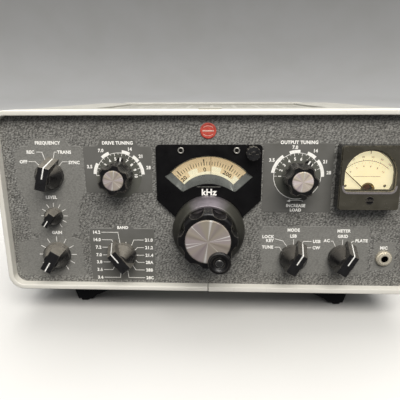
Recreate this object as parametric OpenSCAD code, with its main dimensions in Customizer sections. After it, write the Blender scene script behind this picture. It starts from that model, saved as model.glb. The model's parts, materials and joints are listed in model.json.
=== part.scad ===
// Desktop radio transmitter, built as an assembly.
// The cabinet is drawn level, with X to the right, Y into the cabinet and Z up, and with its
// origin on the front lower edge of the bezel. stance() then leans it back on its feet, so the
// soles lie on Z = 0 and the middle of the whole set is over the origin. Panel sizes are
// measured outwards from the panel face.

/* [Cabinet] */
// Outside width of the cabinet
case_w = 375; // [372:0.5:377]
// Outside height of the cabinet, without its feet
case_h = 164.7; // [163:0.1:166]
// Depth of the cabinet, from the front of the bezel to the back
case_d = 310; // [308:1:320]
// Corner radius of the bezel
corner_r = 14; // [12:0.5:16]
// Width of the bezel's front band
band_w = 4.5; // [4.2:0.1:4.7]
// How far the panel sits behind the front of the bezel
panel_recess = 8; // [7.5:0.5:8.5]
// Depth of the bezel ring
bezel_d = 22; // [21:0.5:23]
// Sheet thickness of the cabinet shell and lid
sheet_t = 2; // [1.8:0.1:2.2]

/* [Stance] */
// Height of the front feet below the cabinet
front_drop = 27.45; // [26.5:0.05:28.5]
// Height of the rear feet below the cabinet
rear_drop = 11; // [10:0.5:12]
// Where the front feet stand, back from the bezel
front_foot_y = 42; // [40:1:44]
// Distance of the front feet from the centre line
front_foot_x = 128; // [124:1:130]
// Where the rear feet stand, back from the bezel
rear_foot_y = 285; // [280:1:288]
// Distance of the rear feet from the centre line
rear_foot_x = 140; // [130:1:150]

/* [Panel layout] */
// Column of the level controls, left of centre
left_col = 141.4; // [141:0.1:142]
// Column of the band and drive controls, left of centre
drive_col = 79.4; // [79:0.1:80]
// Column of the mode and output controls, right of centre
output_col = 77.1; // [77:0.1:77.5]
// Column of the meter switch, right of centre
switch_col = 121.1; // [121:0.1:122]
// Column of the microphone jack, right of centre
jack_col = 158.8; // [158:0.1:160]
// Row of the lower controls
low_row = 32.3; // [32:0.1:33]
// Row of the small calibration knob
small_row = 70; // [69:0.5:71]
// Row of the upper controls
high_row = 107.7; // [107:0.1:108]
// Height of the main tuning shaft
tuning_row = 58.2; // [58.2:0.1:58.4]

/* [Knobs] */
// Outside radius of the main tuning knob
tuning_r = 25.5; // [25:0.1:26]
// Outside radius of the two smaller tuning knobs
trimmer_r = 13.7; // [13.5:0.1:14]
// Skirt radius of the large bar knobs
pointer_r = 12.3; // [12:0.1:12.5]
// Height of the large bar knobs above the panel
pointer_h = 20; // [19:0.5:21]
// Skirt radius of the small bar knob
small_r = 8; // [7.8:0.1:8.2]
// Height of the small bar knob above the panel
small_h = 16; // [15:0.5:17]

/* [Dial] */
// Outside radius of the dial disc
dial_r = 49; // [48:0.5:50]
// Outer radius of the dial window
window_outer_r = 45.5; // [45:0.1:46]
// Inner radius of the dial window
window_inner_r = 30.2; // [30:0.1:31]
// Half angle of the dial window
window_half = 46; // [45:0.5:47]
// Teeth on the dial gear
dial_teeth = 64; // [64:1:64]
// Teeth on the tuning pinion
pinion_teeth = 16; // [16:1:16]
// Tooth module of the dial drive
drive_module = 0.52; // [0.52:0.01:0.52]

/* [Hidden] */
$fn = 64;

gap = 0.05;                     // radial running clearance
panel_t = 2.5;                  // front panel thickness
panel_back = panel_recess + panel_t;
shaft_r = 3.175;                // quarter-inch control shaft
bush_r = 4.76;                  // three-eighths-inch threaded bushing
tilt = atan((front_drop - rear_drop) / (rear_foot_y - front_foot_y));
lift = front_foot_y * sin(tilt) + front_drop * cos(tilt);
front_reach = 37.17;            // from the bezel's lower edge forward to the spinner's front
rear_reach = 11.07;             // from the cabinet's depth back to the ground post's tip
middle_y = (case_d + rear_reach - front_reach) / 2;
shell_inset = 0.5;
roof = case_h - shell_inset;    // top surface of the shell and lid
deck_z = 72;                    // underside of the chassis deck
deck_t = 1.5;
deck_top = deck_z + deck_t;

// Control positions on the panel, as [x, z]
source_at = [-left_col, high_row];
calibrate_at = [-left_col, small_row];
gain_at = [-left_col, low_row];
band_at = [-drive_col, low_row];
drive_at = [-drive_col, high_row];
tuning_at = [0, tuning_row];
mode_at = [output_col, low_row];
output_at = [output_col, high_row];
meter_switch_at = [switch_col, low_row];
mic_at = [jack_col, low_row];
drive_distance = drive_module * (dial_teeth + pinion_teeth) / 2;
dial_at = [0, tuning_row + drive_distance];
switch_spots = [source_at, calibrate_at, gain_at, band_at, mode_at, meter_switch_at];

// Resting turn of each pointer, clockwise from straight up
source_rest = 15;
calibrate_rest = -145;
gain_rest = -148;
band_rest = -38.6;
mode_rest = 30;
meter_switch_rest = 30;
drive_rest = 10;
output_rest = 33;
loading_rest = 160.5;
spinner_rest = 144.6;

// ---- General helpers ----

module stance()
    translate([0, -middle_y, lift]) rotate([-tilt, 0, 0]) children();

// Draws children with their Z pointing out of the panel at a place on it
module on_panel(at, out = 0)
    translate([at[0], panel_recess - out, at[1]]) rotate([90, 0, 0]) children();

// Turns children clockwise as the operator sees them
module clockwise(angle)
    rotate([0, 0, -angle]) children();

// Extrudes a drawing made in the X-Z plane from y0 back to y1
module prism_y(y0, y1)
    translate([0, y1, 0]) rotate([90, 0, 0]) linear_extrude(y1 - y0) children();

module rounded(w, h, r) {
    square([w - 2 * r, h], center = true);
    square([w, h - 2 * r], center = true);
    for (x = [-1, 1], y = [-1, 1])
        translate([x * (w / 2 - r), y * (h / 2 - r)])
            circle(r);
}

module case_outline(inset)
    translate([0, case_h / 2])
        rounded(case_w - 2 * inset, case_h - 2 * inset, corner_r - inset);

module tube(outer, inner, h)
    difference() {
        cylinder(r = outer, h = h);
        translate([0, 0, -1]) cylinder(r = inner, h = h + 2);
    }

module ground()
    translate([-300, -300, -100]) cube([600, 1000, 100]);

// Straight-flanked gear outline, with a tooth on +X and room for backlash
function gear_points(n, m) = [
    for (k = [0:n - 1], p = [[-118, -1.1], [-38.6, 0.8], [38.6, 0.8], [118, -1.1]])
        let (a = k * 360 / n + p[0] / n, r = m * (n / 2 + p[1]))
            [r * cos(a), r * sin(a)]];

module gear_2d(n, m)
    polygon(gear_points(n, m));

// Wedge of a half angle about straight up
module wedge(half, reach)
    polygon([[0, 0], [-reach * sin(half), reach * cos(half)], [-reach * sin(half), reach],
        [reach * sin(half), reach], [reach * sin(half), reach * cos(half)]]);

module fan(inner, outer, half)
    intersection() {
        difference() {
            circle(outer, $fn = 96);
            circle(inner, $fn = 96);
        }
        wedge(half, outer + 20);
    }

// ---- Cabinet ----

lid_w = 276;
lid_front = bezel_d + 1.2;
hinge_y = 283;
hinge_z = roof - sheet_t / 2;
knuckles = 13;
knuckle_l = 20;
knuckle_gap = 0.2;
hinge_l = knuckles * (knuckle_l + knuckle_gap);
knuckle_r = 2.3;
hinge_pin_r = 1;
lid_rear = hinge_y - 3;
ledge_t = 1.5;
ledge_drop = 0.2;               // gap between the lid and its ledges
apron_top = 70;

module trim_ring()
    color("ivory") stance() difference() {
        prism_y(0, bezel_d) case_outline(0);
        prism_y(-1, bezel_d + 1) case_outline(band_w);
        translate([-0.75, -1, -1]) cube([0.5, bezel_d + 2, band_w + 2]);
    }

// Rear wall cut-outs: the chassis apron and a row of upright vents
module rear_openings() {
    translate([0, 41]) square([330, 58], center = true);
    for (i = [-14:14])
        translate([i * 11, 118]) square([4.5, 50], center = true);
}

module floor_vents()
    for (x = [-90, 90], i = [-5:5])
        translate([x, 160 + i * 14, -1])
            translate([-35, -2.5, 0]) cube([70, 5, sheet_t + 4]);

// Places children at each knuckle of the shell, or of the lid, along the hinge axis
module at_knuckles(on_lid)
    for (k = [0:knuckles - 1])
        if ((k % 2 == 1) == on_lid)
            translate([(k - knuckles / 2) * (knuckle_l + knuckle_gap), hinge_y, hinge_z])
                rotate([0, 90, 0]) children();

module hinge_knuckles(on_lid)
    at_knuckles(on_lid) {
        cylinder(r = knuckle_r, h = knuckle_l);
        translate([-sheet_t / 2, on_lid ? -4 : 0, 0]) cube([sheet_t, 4, knuckle_l]);
    }

module hinge_rod(r, l)
    translate([0, hinge_y, hinge_z]) rotate([0, 90, 0])
        cylinder(r = r, h = l, center = true);

// Room in the shell for the lid's knuckles
module hinge_reliefs()
    at_knuckles(true)
        translate([-6, -5, -knuckle_gap]) cube([12, 9.5, knuckle_l + 2 * knuckle_gap]);

module cabinet_shell()
    color("gainsboro") stance() difference() {
        union() {
            difference() {
                prism_y(bezel_d, case_d) case_outline(shell_inset);
                prism_y(bezel_d - 1, case_d - sheet_t) case_outline(shell_inset + sheet_t);
                translate([-lid_w / 2 - 1, bezel_d - 1, case_h - 10])
                    cube([lid_w + 2, hinge_y - bezel_d + 4, 20]);
                prism_y(case_d - 10, case_d + 1) rear_openings();
                floor_vents();
            }
            // Ledges that carry the lid's side edges
            for (s = [-1, 1])
                translate([s * (lid_w / 2 + 1), bezel_d + 2, roof - sheet_t - ledge_drop - ledge_t]) {
                    translate([-4, 0, 0]) cube([8, hinge_y - bezel_d - 6, ledge_t]);
                    translate([s > 0 ? 0.5 : -4, 0, 0])
                        cube([3.5, hinge_y - bezel_d - 6, ledge_t + ledge_drop + 0.5]);
                }
            hinge_knuckles(false);
        }
        hinge_rod(hinge_pin_r, hinge_l + 2);
        hinge_reliefs();
        rear_foot_screws(1.6, 8);
    }

module top_lid()
    color("gainsboro") stance() difference() {
        union() {
            difference() {
                translate([-lid_w / 2, lid_front, roof - sheet_t])
                    cube([lid_w, lid_rear - lid_front, sheet_t]);
                translate([-lid_w / 2 + 22, lid_front + 48, roof - sheet_t - 1])
                    cube([lid_w - 44, lid_rear - lid_front - 76, sheet_t + 2]);
            }
            hinge_knuckles(true);
            // Finger tab over the bezel
            translate([1, lid_front + 4, case_h + 0.2]) finger_tab();
        }
        hinge_rod(hinge_pin_r + gap, hinge_l + 2);
    }

module finger_tab() {
    translate([-10, -14, 0]) cube([20, 14, 1.4]);
    translate([-10, -4, -2]) cube([20, 4, 2.4]);
}

// Slotted plate that closes the lid's opening from below
slot_l = 24;
slot_w = 3;
slot_columns = 8;
slot_rows = 24;
module lid_grille() {
    w = lid_w - 36;
    d = lid_rear - lid_front - 68;
    color("silver") stance()
        translate([0, (lid_front + lid_rear) / 2 + 10, roof - sheet_t - 1]) linear_extrude(1)
            difference() {
                square([w, d], center = true);
                for (i = [0:slot_columns - 1], j = [0:slot_rows - 1])
                    translate([(i - (slot_columns - 1) / 2) * (slot_l + 4),
                        (j - (slot_rows - 1) / 2) * (slot_w + 4)])
                        square([slot_l, slot_w], center = true);
            }
}

module hinge_pin()
    color("silver") stance() hinge_rod(hinge_pin_r, hinge_l);

// ---- Feet ----

pad_t = 3;

module foot_wing(side)
    prism_y(front_foot_y - 12, front_foot_y + 12)
        polygon([for (p = [[-66.5, 0], [16.5, 0], [9.5, -13.5], [5.5, -27], [4.5, -34], [-4.5, -34],
            [-6.5, -27], [-13.5, -21], [-27.5, -15], [-46.5, -7]])
            [side * (front_foot_x + p[0]), p[1]]]);

module front_feet()
    color("black") difference() {
        stance() for (side = [-1, 1]) foot_wing(side);
        translate([0, 0, pad_t]) ground();
    }

module foot_pads() {
    color("dimgray") for (s = [-1, 1])
        translate([s * front_foot_x, foot_world_y(front_foot_y, front_drop), 0])
            linear_extrude(pad_t) rounded(9, 20, 3);
    color("dimgray") difference() {
        stance() for (s = [-1, 1])
            translate([s * rear_foot_x, rear_foot_y, 0]) rotate([180, 0, 0]) difference() {
                cylinder(r1 = 11, r2 = 9, h = rear_drop + 3);
                translate([0, 0, -1]) cylinder(r = 2, h = 40);
                translate([0, 0, rear_drop - 5]) cylinder(r = 4, h = 20);
            }
        ground();
    }
}

function foot_world_y(y, drop) = y * cos(tilt) - drop * sin(tilt) - middle_y;

module rear_foot_screws(r, h)
    for (s = [-1, 1])
        translate([s * rear_foot_x, rear_foot_y, -4]) cylinder(r = r, h = h);

// ---- Front panel and dial window ----

meter_at = [135.5, 108.5];
meter_w = 51;
meter_h = 55;
meter_out = 14.4;
barrel_r = 24;
escutcheon_t = 3;
loading_r = 4.3;                // outside radius of the loading sleeve
loading_bush_r = 6.5;
zero_reach = 62.5;              // dial axis to zero-set axis
zero_angle = 37.3;
zero_at = [zero_reach * sin(zero_angle), dial_at[1] + zero_reach * cos(zero_angle)];
escutcheon_screw_at = [[-24, 130.6], [24, 130.6]];
zero_shaft_r = 2;

module front_panel()
    color("dimgray") stance() {
        difference() {
            prism_y(panel_recess, panel_back) case_outline(band_w + 0.05);
            prism_y(panel_recess - 1, panel_back + 1) {
                translate(dial_at) fan(27.4, 48.1, 50);
                for (at = switch_spots) translate(at) circle(bush_r + 0.1);
                translate(drive_at) circle(bush_r + 0.1);
                translate(tuning_at) circle(bush_r + 0.1);
                translate(output_at) circle(loading_bush_r + 0.1);
                translate(mic_at) circle(5);
                translate(meter_at) circle(barrel_r + 0.2);
                translate(zero_at) circle(zero_shaft_r + gap);
                for (at = escutcheon_screw_at) translate(at) circle(1.6);
            }
        }
        // Pivot that the hairline cursor turns on
        on_panel(dial_at, -panel_t - 1.2) cylinder(r = 3, h = 1.2);
    }

// Lower edge of the window frame: an arc through its two corners and its middle
frame_corner = [23, 14.2];
frame_mid = 22;
frame_sag = frame_mid - frame_corner[1];
frame_arc_r = (frame_corner[0] * frame_corner[0] + frame_sag * frame_sag) / (2 * frame_sag);
frame_arc_z = frame_mid - frame_arc_r;
module frame_outline()
    difference() {
        union() {
            polygon([[-frame_corner[0], frame_corner[1]], [frame_corner[0], frame_corner[1]],
                [38.5, 28.5], [34.4, 31.5], [-34.4, 31.5], [-38.5, 28.5]]);
            fan(20, window_outer_r + 1.2, window_half + 1.5);
        }
        translate([0, frame_arc_z]) circle(frame_arc_r, $fn = 96);
    }

module dial_escutcheon()
    color("black") stance() difference() {
        prism_y(panel_recess - escutcheon_t, panel_recess) difference() {
            union() {
                polygon([[-46, 86.3], [-30, 70.5], [30, 70.5], [46, 86.3], [46, 132.3], [43, 135.3],
                    [-43, 135.3], [-46, 132.3]]);
                for (s = [-1, 1]) translate([s * 43, 132.3]) circle(3);
            }
            translate(dial_at) frame_outline();
            translate(tuning_at) circle(skirt_r + 0.05, $fn = 96);
            translate(zero_at) circle(zero_shaft_r + gap);
            for (at = escutcheon_screw_at) translate(at) circle(1.6);
        }
    }

module window_bezel()
    color("slategray") stance() prism_y(panel_recess - 1.8, panel_recess - 0.05)
        translate(dial_at) difference() {
            frame_outline();
            fan(window_inner_r, window_outer_r, window_half);
        }

module window_glass()
    color("lightcyan") stance() prism_y(panel_recess + 0.3, panel_recess + 1.5)
        translate(dial_at) fan(27.6, 47.9, 49.7);

// Two ring-headed escutcheon screws, with their shanks through the panel
module panel_screws()
    color("darkgray") stance() {
        for (at = escutcheon_screw_at) on_panel(at) {
            translate([0, 0, -panel_t]) cylinder(r = 1.5, h = panel_t + escutcheon_t + 0.5);
            translate([0, 0, escutcheon_t + 0.02]) difference() {
                cylinder(r1 = 3, r2 = 2.7, h = 1.6);
                translate([0, 0, 0.7]) cylinder(r = 1.6, h = 3, $fn = 6);
            }
        }
        for (s = [-1, 1])
            translate([s * rear_foot_x, rear_foot_y, 5 - rear_drop - 0.02]) {
                cylinder(r = 1.5, h = 11);
                translate([0, 0, -1.6]) cylinder(r = 3.2, h = 1.6);
            }
    }

module badge()
    color("firebrick") stance() on_panel([-0.5, 147]) difference() {
        union() {
            cylinder(r = 6.9, h = 1);
            cylinder(r = 6.3, h = 1.5);
        }
        translate([0, 0, 1.2]) cylinder(r = 5.6, h = 1);
    }

// ---- Main tuning ----

skirt_r = 32.3;
skirt_front = 16;
knob_back = 17.5;
knob_front = 33.4;
cap_r = 19;
cap_t = 1.2;
spinner_offset = 16.6;
post_r = 2;

module skirt_ring()
    color("gray") stance() on_panel(tuning_at) rotate_extrude($fn = 96)
        polygon([[28, 0], [skirt_r, 0], [skirt_r, 7.5], [31.6, 9.2], [26.4, skirt_front],
            [24.6, skirt_front], [24.6, 13.5], [9, 13.5], [9, 11.5], [28, 11.5]]);

// Outline of a lobed knob: a circle scalloped by n round cutters
module lobed(r, valley, n, phase)
    difference() {
        circle(r, $fn = 96);
        // Cutter centre and radius follow from the valley depth and a 35% share of plain rim
        for (k = [0:n - 1])
            let (half = 0.325 * 360 / n,
                reach = (r * r - valley * valley) / (2 * (r * cos(half) - valley)))
                rotate(phase + (k + 0.5) * 360 / n) translate([0, reach])
                    circle(reach - valley, $fn = 64);
    }

module tuning_knob()
    color("black") stance() on_panel(tuning_at) difference() {
        intersection() {
            translate([0, 0, knob_back]) linear_extrude(knob_front - knob_back)
                lobed(tuning_r, 22, 8, 0);
            rotate_extrude($fn = 96)
                polygon([[0, knob_back], [tuning_r - 1.5, knob_back], [tuning_r, knob_back + 1.5],
                    [tuning_r, knob_front - 3], [tuning_r - 0.8, knob_front - 1.2],
                    [tuning_r - 2.6, knob_front], [0, knob_front]]);
        }
        translate([0, 0, knob_front - cap_t]) cylinder(r = cap_r + 0.1, h = 5, $fn = 96);
        translate([0, 0, knob_back - 1]) cylinder(r = shaft_r, h = 13.5);
        clockwise(spinner_rest) translate([0, spinner_offset, knob_front - 10])
            cylinder(r = post_r, h = 20);
    }

module tuning_cap()
    color("silver") stance() on_panel(tuning_at, knob_front - cap_t) difference() {
        union() {
            cylinder(r = cap_r, h = cap_t, $fn = 96);
            cylinder(r = cap_r - 0.6, h = cap_t + 0.5, $fn = 96);
        }
        clockwise(spinner_rest) translate([0, spinner_offset, -1]) cylinder(r = post_r, h = 5);
    }

module tuning_shaft()
    color("silver") stance() {
        on_panel(tuning_at, -pinion_back) {
            translate([0, 0, 2]) cylinder(r = shaft_r, h = pinion_back + knob_back + 10);
            clockwise(180 / pinion_teeth)
                rotate(90) linear_extrude(2.4) gear_2d(pinion_teeth, drive_module);
        }
    }

module spinner_post()
    color("silver") stance() on_panel(tuning_at) clockwise(spinner_rest)
        translate([0, spinner_offset, knob_front - 10]) {
            cylinder(r = post_r, h = 22.5);
            translate([0, 0, 22.5]) cylinder(r = 3.2, h = 0.8);
        }

module spinner_knob()
    color("black") stance() on_panel(tuning_at) clockwise(spinner_rest)
        translate([0, spinner_offset, knob_front + 1.2]) difference() {
            rotate_extrude() polygon([[post_r + gap, 0], [4.7, 0], [5.2, 0.6], [4.7, 2], [4.7, 6],
                [5.8, 7.8], [8.6, 8.8], [9.6, 9.9], [9.6, 12], [8.8, 13], [7.2, 13.2], [5.6, 12.3],
                [4.6, 11.2], [post_r + gap, 11.2]]);
        }

// ---- Dial drive ----

pinion_back = 6.4;              // back of the pinion, behind the panel face
gear_front = panel_recess + 4;
disc_front = panel_recess + 7;

module dial_disc()
    color("wheat") stance() prism_y(disc_front, disc_front + 1) translate(dial_at) difference() {
        circle(dial_r, $fn = 96);
        circle(3.5);
    }

module dial_gear()
    color("goldenrod") stance() {
        prism_y(gear_front, gear_front + 2.5) translate(dial_at)
            rotate(-90) gear_2d(dial_teeth, drive_module);
        on_panel(dial_at, panel_recess - disc_front) {
            cylinder(r = 8, h = 0.6);
            translate([0, 0, -1]) cylinder(r = 3.5, h = 1.1);
            translate([0, 0, -48]) cylinder(r = 3, h = 48);
        }
    }

cursor_teeth = 117;
zero_teeth = 16;
zero_module = 2 * zero_reach / (cursor_teeth + zero_teeth);
cursor_y = panel_recess + 2.8;

module hairline_cursor()
    color("azure") stance() prism_y(cursor_y, cursor_y + 0.8) translate(dial_at) difference() {
        union() {
            circle(6.5);
            fan(4, 49, 47);
            intersection() {
                union() {
                    rotate(90 - zero_angle) gear_2d(cursor_teeth, zero_module);
                    circle(50);
                }
                rotate(-zero_angle) wedge(9, 80);
            }
        }
        circle(3 + gap);
    }

module zero_set_knob()
    color("black") stance() on_panel(zero_at, -panel_t - 1.3) {
        clockwise(zero_angle + 180) rotate(90) clockwise(180 / zero_teeth)
            linear_extrude(1.1) gear_2d(zero_teeth, zero_module);
        cylinder(r = zero_shaft_r, h = 16);
        translate([0, 0, panel_t + escutcheon_t + 1.3 + 0.4]) difference() {
            linear_extrude(8) lobed(6, 5.5, 12, 0);
            translate([-4, -0.5, 7.2]) cube([8, 1, 2]);
        }
    }

// ---- Drive tuning and its slug rack ----

rack_module = 0.8;
rack_pinion_teeth = 10;
rack_pitch_r = rack_module * rack_pinion_teeth / 2;
rack_y = 62;
rack_t = 5;
rack_pitch = rack_module * 180 / 57.29578;
slug_x = [-26, -9, 8, 25];
slug_y = [15, 31];
post_x = [-30, 27];

// Small lobed tuning knob with a skirt and a printed pointer tab
pointer_tab_t = 1.6;

module trimmer_knob(rest, base, top)
    difference() {
        union() {
            translate([0, 0, base + pointer_tab_t + 0.2])
                linear_extrude(top - base - pointer_tab_t - 1.2) clockwise(rest)
                    lobed(trimmer_r, 11.3, 6, 0);
            translate([0, 0, top - 1.01]) linear_extrude(1) clockwise(rest)
                lobed(trimmer_r - 0.9, 10.5, 6, 0);
            translate([0, 0, base]) cylinder(r = 12.6, h = 3.4);
            clockwise(rest) translate([0, 0, base]) linear_extrude(pointer_tab_t)
                polygon([[-4.5, 9], [4.5, 9], [2.2, 16.8], [-2.2, 16.8]]);
        }
        translate([0, 0, top - 0.8]) cylinder(r = 8.6, h = 2);
        translate([0, 0, base - 1]) cylinder(r = shaft_r, h = top - base - 3);
    }

module trimmer_cap(top)
    translate([0, 0, top - 0.8]) {
        cylinder(r = 8.5, h = 0.9);
        cylinder(r = 8, h = 1.3);
    }

drive_base = 3;
drive_top = 23.2;
output_base = 5.2;
output_top = 25.5;

module drive_knob()
    color("black") stance() on_panel(drive_at) trimmer_knob(drive_rest, drive_base, drive_top);

module drive_cap()
    color("silver") stance() on_panel(drive_at) trimmer_cap(drive_top);

module drive_shaft()
    color("silver") stance() {
        on_panel(drive_at, panel_recess - rack_y - rack_t)
            cylinder(r = shaft_r, h = rack_y + rack_t - panel_recess + drive_top - 4);
        // Without the rest turn, so that a gap faces the rack at rest
        on_panel(drive_at, panel_recess - rack_y - rack_t)
            rotate(180 / rack_pinion_teeth) linear_extrude(rack_t)
                gear_2d(rack_pinion_teeth, rack_module);
    }

module rack_teeth()
    for (k = [-9:9])
        translate([0, k * rack_pitch])
            polygon([[rack_module * 1.2, -rack_pitch * 0.36], [-rack_module * 0.8, -rack_pitch * 0.11],
                [-rack_module * 0.8, rack_pitch * 0.11], [rack_module * 1.2, rack_pitch * 0.36]]);

module slug_rack()
    color("lightgray") stance() translate([drive_at[0], 0, 0]) {
        prism_y(rack_y, rack_y + rack_t) translate([rack_pitch_r, high_row]) {
            rack_teeth();
            translate([rack_module, -26]) square([5, 61]);
        }
        difference() {
            translate([-36, rack_y - 4, high_row + 33]) cube([70, 44, 2]);
            for (x = post_x) translate([x, rack_y + 2, high_row + 30]) cylinder(r = 2 + gap, h = 10);
        }
        for (x = slug_x, y = slug_y)
            translate([x, rack_y + y, high_row]) cylinder(r = 2.4, h = 34);
    }

module slug_coils()
    color("peru") stance() for (x = slug_x, y = slug_y)
        translate([drive_at[0] + x, rack_y + y, deck_top]) {
            tube(4.2, 2.8, 42);
            for (k = [0:7]) translate([0, 0, 12 + k * 3]) tube(4.9, 4, 1.4);
            tube(6.5, 4, 3);
        }

// ---- Output tuning, loading and their capacitors ----

rotor_y = 90;
plate_pitch = 4;
plate_t = 1;
rotor_plates = 8;
loading_gear_y = 14;
loading_teeth = 30;
loading_module = 0.8;
loading_at = [output_at[0], output_at[1] + loading_module * loading_teeth];
loading_shaft_r = 3;

module output_knob()
    color("black") stance() on_panel(output_at) trimmer_knob(output_rest, output_base, output_top);

module output_cap()
    color("silver") stance() on_panel(output_at) trimmer_cap(output_top);

module output_shaft()
    color("silver") stance() on_panel(output_at, panel_recess - 134)
        cylinder(r = shaft_r, h = 134 - panel_recess + output_top - 4);

module output_rotor()
    color("lightsteelblue") stance() difference() {
        union() {
            for (k = [0:rotor_plates - 1])
                prism_y(rotor_y + k * plate_pitch, rotor_y + k * plate_pitch + plate_t)
                    translate(output_at) rotate(-output_rest) intersection() {
                        circle(17);
                        translate([-20, -20]) square([40, 22]);
                    }
            prism_y(rotor_y - 2, rotor_y + rotor_plates * plate_pitch) translate(output_at) circle(5);
        }
        prism_y(rotor_y - 4, rotor_y + 50) translate(output_at) circle(shaft_r);
    }

module loading_lever()
    color("black") stance() on_panel(output_at) {
        translate([0, 0, -8.5]) tube(loading_r, shaft_r + gap, 13);
        translate([0, 0, 2.4]) difference() {
            linear_extrude(1.6) {
                circle(8);
                clockwise(loading_rest) translate([-2.6, 5]) square([5.2, 14]);
                clockwise(loading_rest) translate([0, 19]) circle(2.6);
            }
            translate([0, 0, -1]) cylinder(r = loading_r - 0.4, h = 4);
        }
    }

module loading_gear()
    color("goldenrod") stance() prism_y(loading_gear_y, loading_gear_y + 2)
        translate(output_at) difference() {
            rotate(90) gear_2d(loading_teeth, loading_module);
            circle(loading_r);
        }

module loading_rotor()
    color("lightsteelblue") stance() {
        prism_y(loading_gear_y, loading_gear_y + 2)
            translate(loading_at) rotate(-90 + 180 / loading_teeth)
                gear_2d(loading_teeth, loading_module);
        prism_y(loading_gear_y - 1, 74) translate(loading_at) circle(loading_shaft_r);
        for (k = [0:4])
            prism_y(46 + k * 4.5, 47 + k * 4.5) translate(loading_at) intersection() {
                circle(12.5);
                translate([-20, -20]) square([40, 21]);
            }
    }

// Half-round plates held on two rods, opposite the rotor plates
module stator_plates(at, y0, count, pitch, reach, hub, angle)
    for (k = [0:count])
        prism_y(y0 + (k - 0.5) * pitch, y0 + (k - 0.5) * pitch + plate_t)
            translate(at) rotate(angle) difference() {
                intersection() {
                    circle(reach);
                    translate([-20, 0]) square([40, 22]);
                }
                circle(hub);
            }

module capacitor_stators()
    color("silver") stance() {
        // Output tuning capacitor
        stator_plates(output_at, rotor_y, rotor_plates, plate_pitch, 18.5, 7, -output_rest);
        for (y = [rotor_y - 8, rotor_y + 36]) difference() {
            prism_y(y, y + 2.5) translate([output_at[0] - 22, deck_top + 0.02])
                square([44, high_row + 20 - deck_top]);
            prism_y(y - 1, y + 4) translate(output_at) circle(shaft_r + gap);
        }
        prism_y(rotor_y - 6, rotor_y + 36.2) translate(output_at) rotate(-output_rest)
            for (s = [-1, 1]) translate([s * 15.5, 11]) circle(1.6);
        // Loading capacitor
        stator_plates(loading_at, 46, 5, 4.5, 13.5, 6, 0);
        for (y = [38, 70]) difference() {
            prism_y(y, y + 2) union() {
                translate([loading_at[0] - 16, loading_at[1] - 5]) square([32, 22]);
                translate([loading_at[0] - 16, deck_top + 0.02]) square([5, 60]);
                translate([loading_at[0] + 11, deck_top + 0.02]) square([5, 60]);
            }
            prism_y(y - 1, y + 4) translate(loading_at) circle(loading_shaft_r + gap);
        }
        prism_y(39, 71) translate(loading_at) for (s = [-1, 1]) translate([s * 10.5, 9.5]) circle(1.4);
    }

// ---- Small controls ----

// Bar knob on a round skirt, pointing up, with its shaft in one piece
knob_lift = 0.8;                // gap between the panel and a bar knob

module bar_knob(r, h, bar_w, nose, rest, shaft_back) {
    skirt_h = 0.24 * h;
    cone_h = 0.6 * h;
    clockwise(rest) {
        difference() {
            union() {
                translate([0, 0, knob_lift]) cylinder(r = r, h = skirt_h);
                translate([0, 0, knob_lift - 0.01 + skirt_h])
                    cylinder(r1 = r - 0.3, r2 = 0.52 * r, h = cone_h);
                translate([bar_w / 2, 0, 0]) rotate([90, 0, -90]) linear_extrude(bar_w)
                    polygon([[-nose, knob_lift], [-nose, knob_lift + 1], [-0.87 * r, h - 0.8],
                        [-0.83 * r, h], [0.8 * r, h], [0.85 * r, h - 0.8],
                        [0.97 * r, knob_lift + 1], [0.97 * r, knob_lift]]);
            }
            cylinder(r = shaft_r, h = 0.55 * h);
        }
        translate([0, 0, -shaft_back]) cylinder(r = shaft_r, h = shaft_back + 0.55 * h);
    }
}

module large_bar_knob(at, rest, shaft_back)
    color("black") stance() on_panel(at)
        bar_knob(pointer_r, pointer_h, 9.5, 16, rest, shaft_back);

short_shaft = 12;
wafer_shaft = 150;

module source_knob() large_bar_knob(source_at, source_rest, short_shaft);
module gain_knob() large_bar_knob(gain_at, gain_rest, short_shaft);
module mode_knob() large_bar_knob(mode_at, mode_rest, short_shaft);
module meter_knob() large_bar_knob(meter_switch_at, meter_switch_rest, short_shaft);
module band_knob() large_bar_knob(band_at, band_rest, wafer_shaft);

module calibrate_knob()
    color("black") stance() on_panel(calibrate_at)
        bar_knob(small_r, small_h, 5.5, 9.5, calibrate_rest, short_shaft);

// Threaded bushing with its nut on the face of the panel
module bushing(bore, outer, flats)
    difference() {
        union() {
            translate([0, 0, -panel_t - 1.2]) cylinder(r = outer, h = panel_t + 1.2 + 0.6);
            translate([0, 0, -panel_t - 1.2]) cylinder(r = outer + 2, h = 1.2);
            cylinder(r = flats, h = 0.7, $fn = 6);
        }
        translate([0, 0, -20]) cylinder(r = bore, h = 40);
    }

module control_bushings()
    color("silver") stance() {
        for (at = switch_spots) on_panel(at) bushing(shaft_r + gap, bush_r, 6.5);
        on_panel(drive_at) bushing(shaft_r + gap, bush_r, 6.5);
        on_panel(tuning_at) difference() {
            union() {
                translate([0, 0, -panel_t - 0.8]) cylinder(r = bush_r, h = panel_t + 9);
                translate([0, 0, -panel_t - 0.8]) cylinder(r = bush_r + 2, h = 0.8);
                cylinder(r = 7, h = 2.2, $fn = 6);
            }
            translate([0, 0, -20]) cylinder(r = shaft_r + gap, h = 60);
        }
        on_panel(output_at) difference() {
            union() {
                translate([0, 0, -panel_t - 0.8]) cylinder(r = loading_bush_r, h = panel_t + 2.4);
                translate([0, 0, -panel_t - 0.8]) cylinder(r = loading_bush_r + 2, h = 0.8);
                cylinder(r = 8.6, h = 1.6, $fn = 6);
            }
            translate([0, 0, -20]) cylinder(r = loading_r + gap, h = 40);
        }
    }

wafer_y = [34, 64, 94, 124];

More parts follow.
